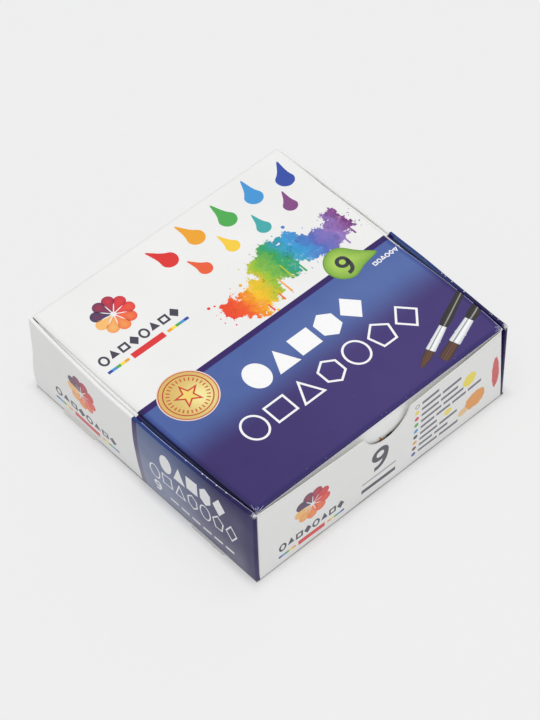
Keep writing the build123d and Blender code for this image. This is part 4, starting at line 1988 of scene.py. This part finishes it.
@dataclass
class Jar:
    """One jar of paint: its ribbed cap is modelled here, the rest takes new finishes."""

    number: int
    paint: Paint
    plastic: Material
    finishes: Finishes
    ribs: int = 60
    rib_depth: float = 0.5
    rib_points: int = 4
    shell: float = 1.3
    dish: float = 0.4
    plug_outer: float = 15.5
    plug_inner: float = 14.6
    plug_depth: float = 1.8

    def __post_init__(self) -> None:
        """Read the cap's and the label's sizes."""
        low, high = (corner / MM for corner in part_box(f"jar_{self.number}_cap"))
        self.centre = Vector(((low.x + high.x) / 2, (low.y + high.y) / 2, 0))
        self.radius = (high.x - low.x) / 2
        self.low, self.high = low.z, high.z
        label_low, label_high = (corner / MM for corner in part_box(f"jar_{self.number}_label"))
        self.label_low, self.label_high = label_low.z, label_high.z
        self.label_radius = (label_high.x - label_low.x) / 2

    def build(self) -> None:
        """Build the cap and its number, and dress the jar."""
        number, body, slot = self.number, f"cap_{self.number}", f"cap_{self.paint.word}"
        object_of(f"{body}_ribbed", self._cap(), body, slot, [f"jar_{number}_cap"])
        self._cap_print()
        self._label_print()
        dress(f"jar_{number}_body", self.plastic)
        dress(f"jar_{number}_paint", WetPaint(self.paint).material())
        dress(f"jar_{number}_label", LabelPaper(self.paint, self.label_low, self.label_high).material())

    def _cap_print(self) -> None:
        """The jar's number in a ring, raised from the cap's top."""
        tone = PURE_WHITE if sum(self.paint.colour) < 0.75 else ink(30, 28, 34)
        raised = Stencil().numeral(str(self.number), (0, 0), 8.0, between(self.paint.colour, tone, 0.85))
        raised.band(ring((0, 0), 9.6, 64), 0.5, between(self.paint.colour, tone, 0.6), closed=True)

        def on_top(a: float, b: float, depth: float = 0.0) -> Vector:
            """A point of the cap's top."""
            return self.centre + Vector((a, b, self.high - self.dish - depth))
        body, sheet = f"cap_{self.number}", raised.slab(on_top, lift=0.12)
        self.finishes.lay_print(f"{body}_number", body, sheet, f"cap_{self.paint.word}")

    def _label_print(self) -> None:
        """The jar's number on its label."""
        middle = self.label_low + 0.66 * (self.label_high - self.label_low)

        def round_label(a: float, b: float, depth: float = 0.0) -> Vector:
            """A point of the label, by the way round it and the height."""
            out = Matrix.Rotation(a / self.label_radius, 3, "Z") @ Vector((0, depth - self.label_radius, b))
            return self.centre + out
        figure = Stencil().numeral(str(self.number), (0, middle), 6.4, SLATE)
        sheet = figure.slab(round_label, steps(-6, 6, 0.8), (), 0.012, 0.02)
        self.finishes.lay_print(f"label_{self.number}_number", f"jar_{self.number}", sheet, "label_paper")

    def _section(self) -> list[tuple[float, float, float]]:
        """The cap's section from the middle of its top, over the rim and under its ceiling.

        Returns:
            Radii, heights, and how much of the ribs each point has.
        """
        top, foot, r = self.high, self.low, self.radius
        ceiling, bore, dished = top - self.shell, r - self.shell, top - self.dish
        rim = [
            (0.0, dished, 0), (9.0, dished, 0), (r - 3.2, dished, 0), (r - 2.95, top - 0.3, 0),
            (r - 2.7, top - 0.08, 0), (r - 2.45, top, 0), (r - 1.5, top, 0), (r - 0.9, top - 0.06, 0),
            (r - 0.5, top - 0.25, 0), (r - 0.32, top - 0.55, 0), (r - 0.3, top - 1.0, 0.2),
        ]
        skirt = [
            (r, top - 1.5, 1), (r, top - 3.5, 1), (r, foot + 1.6, 1), (r - 0.1, foot + 1.1, 0.4),
            (r, foot + 0.9, 0), (r, foot + 0.15, 0), (r - 0.15, foot, 0), (bore + 0.15, foot, 0),
            (bore, foot + 0.15, 0), (bore, ceiling, 0),
        ]
        plug_foot = ceiling - self.plug_depth
        plug = [
            (self.plug_outer, ceiling, 0), (self.plug_outer - 0.05, plug_foot, 0),
            (self.plug_inner, plug_foot, 0), (self.plug_inner - 0.05, ceiling, 0), (0.0, ceiling, 0),
        ]
        return rim + skirt + plug

    def _cap(self) -> bpy.types.Mesh:
        """The screw cap, turned, with ribs round its skirt.

        Returns:
            The mesh, in metres.
        """
        (_, dished, _), *turned, (_, ceiling, _) = self._section()
        around = self.ribs * self.rib_points
        points = []
        for radius, height, ribbed in turned:
            for index in range(around):
                angle = math.tau * index / around
                rib = 0.5 - 0.5 * math.cos(self.ribs * angle)
                reach = radius - self.rib_depth * ribbed * rib ** 1.5
                points.append(Vector((reach * math.cos(angle), reach * math.sin(angle), height)))
        loops = [[row * around + index for index in range(around)] for row in range(len(turned))]
        faces = []
        for upper, lower in zip(loops, loops[1:]):
            for index in range(around):
                after = (index + 1) % around
                faces.append((upper[index], lower[index], lower[after], upper[after]))
        for loop, height in ((loops[0], dished), (loops[-1], ceiling)):
            hub = len(points)
            points.append(Vector((0.0, 0.0, height)))
            faces += [(a, b, hub) for a, b in zip(loop, loop[1:] + loop[:1])]
        mesh = bpy.data.meshes.new(f"cap_{self.number}")
        mesh.from_pydata([tuple((point + self.centre) * MM) for point in points], [], faces)
        mesh.materials.append(CapPlastic(self.paint).material())
        tidy_normals(mesh)
        return mesh


# The studio


@dataclass(frozen=True)
class Lamp:
    """A square lamp that points at the box."""

    name: str
    place: tuple[float, float, float]
    size: float
    watts: float

    def build(self) -> None:
        """Hang the lamp."""
        light = bpy.data.lights.new(self.name, "AREA")
        light.size = self.size
        light.energy = self.watts
        thing = put(self.name, light)
        thing.location = self.place
        aim = Vector((0, 0, 0.02)) - Vector(self.place)
        thing.rotation_euler = aim.to_track_quat("-Z", "Y").to_euler()


@dataclass
class Studio:
    """A pale floor, soft lamps, an even sky and the camera."""

    eye: tuple[float, float, float] = (-432.54, -497.68, 838.61)
    target: tuple[float, float, float] = (-0.5, -1.33, 19.0)
    roll: float = -1.837
    lens: float = 145.36
    pale: Colour = ink(240, 240, 240)
    evenness: float = 0.74
    contact: float = 0.75
    contact_reach: float = 4.5
    foot: Point = (60.9, 60.0)
    sky: float = 0.58
    floor_reach: float = 6.0
    lamps: tuple[Lamp, ...] = (
        Lamp("key", (-0.06, -0.1, 1.97), 1.5, 18.2),
        Lamp("fill", (0.2, -1.6, 0.7), 1.2, 0.8),
    )

    def build(self) -> None:
        """Set the studio up."""
        self._floor()
        self._sky()
        for lamp in self.lamps:
            lamp.build()
        self._camera()
        bpy.context.scene.view_settings.view_transform = "Standard"

    def _floor(self) -> None:
        """A wide sheet under the box."""
        mesh = bpy.data.meshes.new("floor")
        corners = ring((0, 0), self.floor_reach * math.sqrt(2), 4, 45)
        mesh.from_pydata([(x, y, 0) for x, y in corners], [], [(0, 1, 2, 3)])
        mesh.materials.append(self._cloth())
        floor = put("floor", mesh)
        floor.location.z = -0.0001

    def _cloth(self) -> Material:
        """The floor's finish, which keeps the box's shadow under an even pale backdrop.

        Returns:
            The material.
        """
        graph = Graph("floor_sheet")
        colour = graph.mix(ink(236, 236, 237), ink(239, 239, 239), graph.noise(0.002))
        cloth = {"Base Color": colour, "Roughness": 0.9, "Specular IOR Level": 0.1}
        lit = graph.node("ShaderNodeBsdfPrincipled", None, cloth)
        pale = graph.node("ShaderNodeEmission", None, {0: self.pale, 1: 1.0})
        x, y, _ = graph.axes
        near = (abs(x) - self.foot[0]).most(abs(y) - self.foot[1]).ramp(self.contact_reach, 0.0)
        even = self.evenness * (1 - graph.rays["Is Camera Ray"] * near * self.contact)
        shown = {0: graph.sees_backdrop() * even, 1: lit, 2: pale}
        return graph.close(graph.node("ShaderNodeMixShader", None, shown))

    def _sky(self) -> None:
        """An even sky that the camera and the gloss see as pale backdrop."""
        graph = Graph("studio", sky=True)
        lit = graph.node("ShaderNodeBackground", None, {0: (1, 1, 1), 1: self.sky})
        pale = graph.node("ShaderNodeBackground", None, {0: self.pale, 1: 1.0})
        shown = {0: graph.sees_backdrop(), 1: lit, 2: pale}
        bpy.context.scene.world = graph.close(graph.node("ShaderNodeMixShader", None, shown))

    def _camera(self) -> None:
        """The photograph's view."""
        camera = bpy.data.cameras.new("camera")
        camera.sensor_fit = "VERTICAL"
        camera.sensor_height = 36.0
        camera.lens = self.lens
        camera.clip_end = 20.0
        thing = put("camera", camera)
        eye, target = Vector(self.eye) * MM, Vector(self.target) * MM
        look = (target - eye).to_track_quat("-Z", "Y").to_matrix()
        rolled = look @ Matrix.Rotation(math.radians(self.roll), 3, "Z")
        thing.matrix_world = Matrix.Translation(eye) @ rolled.to_4x4()
        bpy.context.scene.camera = thing


def main() -> None:
    """Build the box and its studio from the model's sizes."""
    logging.basicConfig(level=logging.INFO, format="%(message)s")
    sizes = Sizes.read()
    finishes = Finishes(sizes)
    Tray(sizes, finishes).build()
    Lid(sizes, finishes).build()
    plastic = JarPlastic().material()
    for number, paint in enumerate(Paint, start=1):
        Jar(number, paint, plastic, finishes).build()
    Studio().build()


if __name__ == "__main__":
    main()
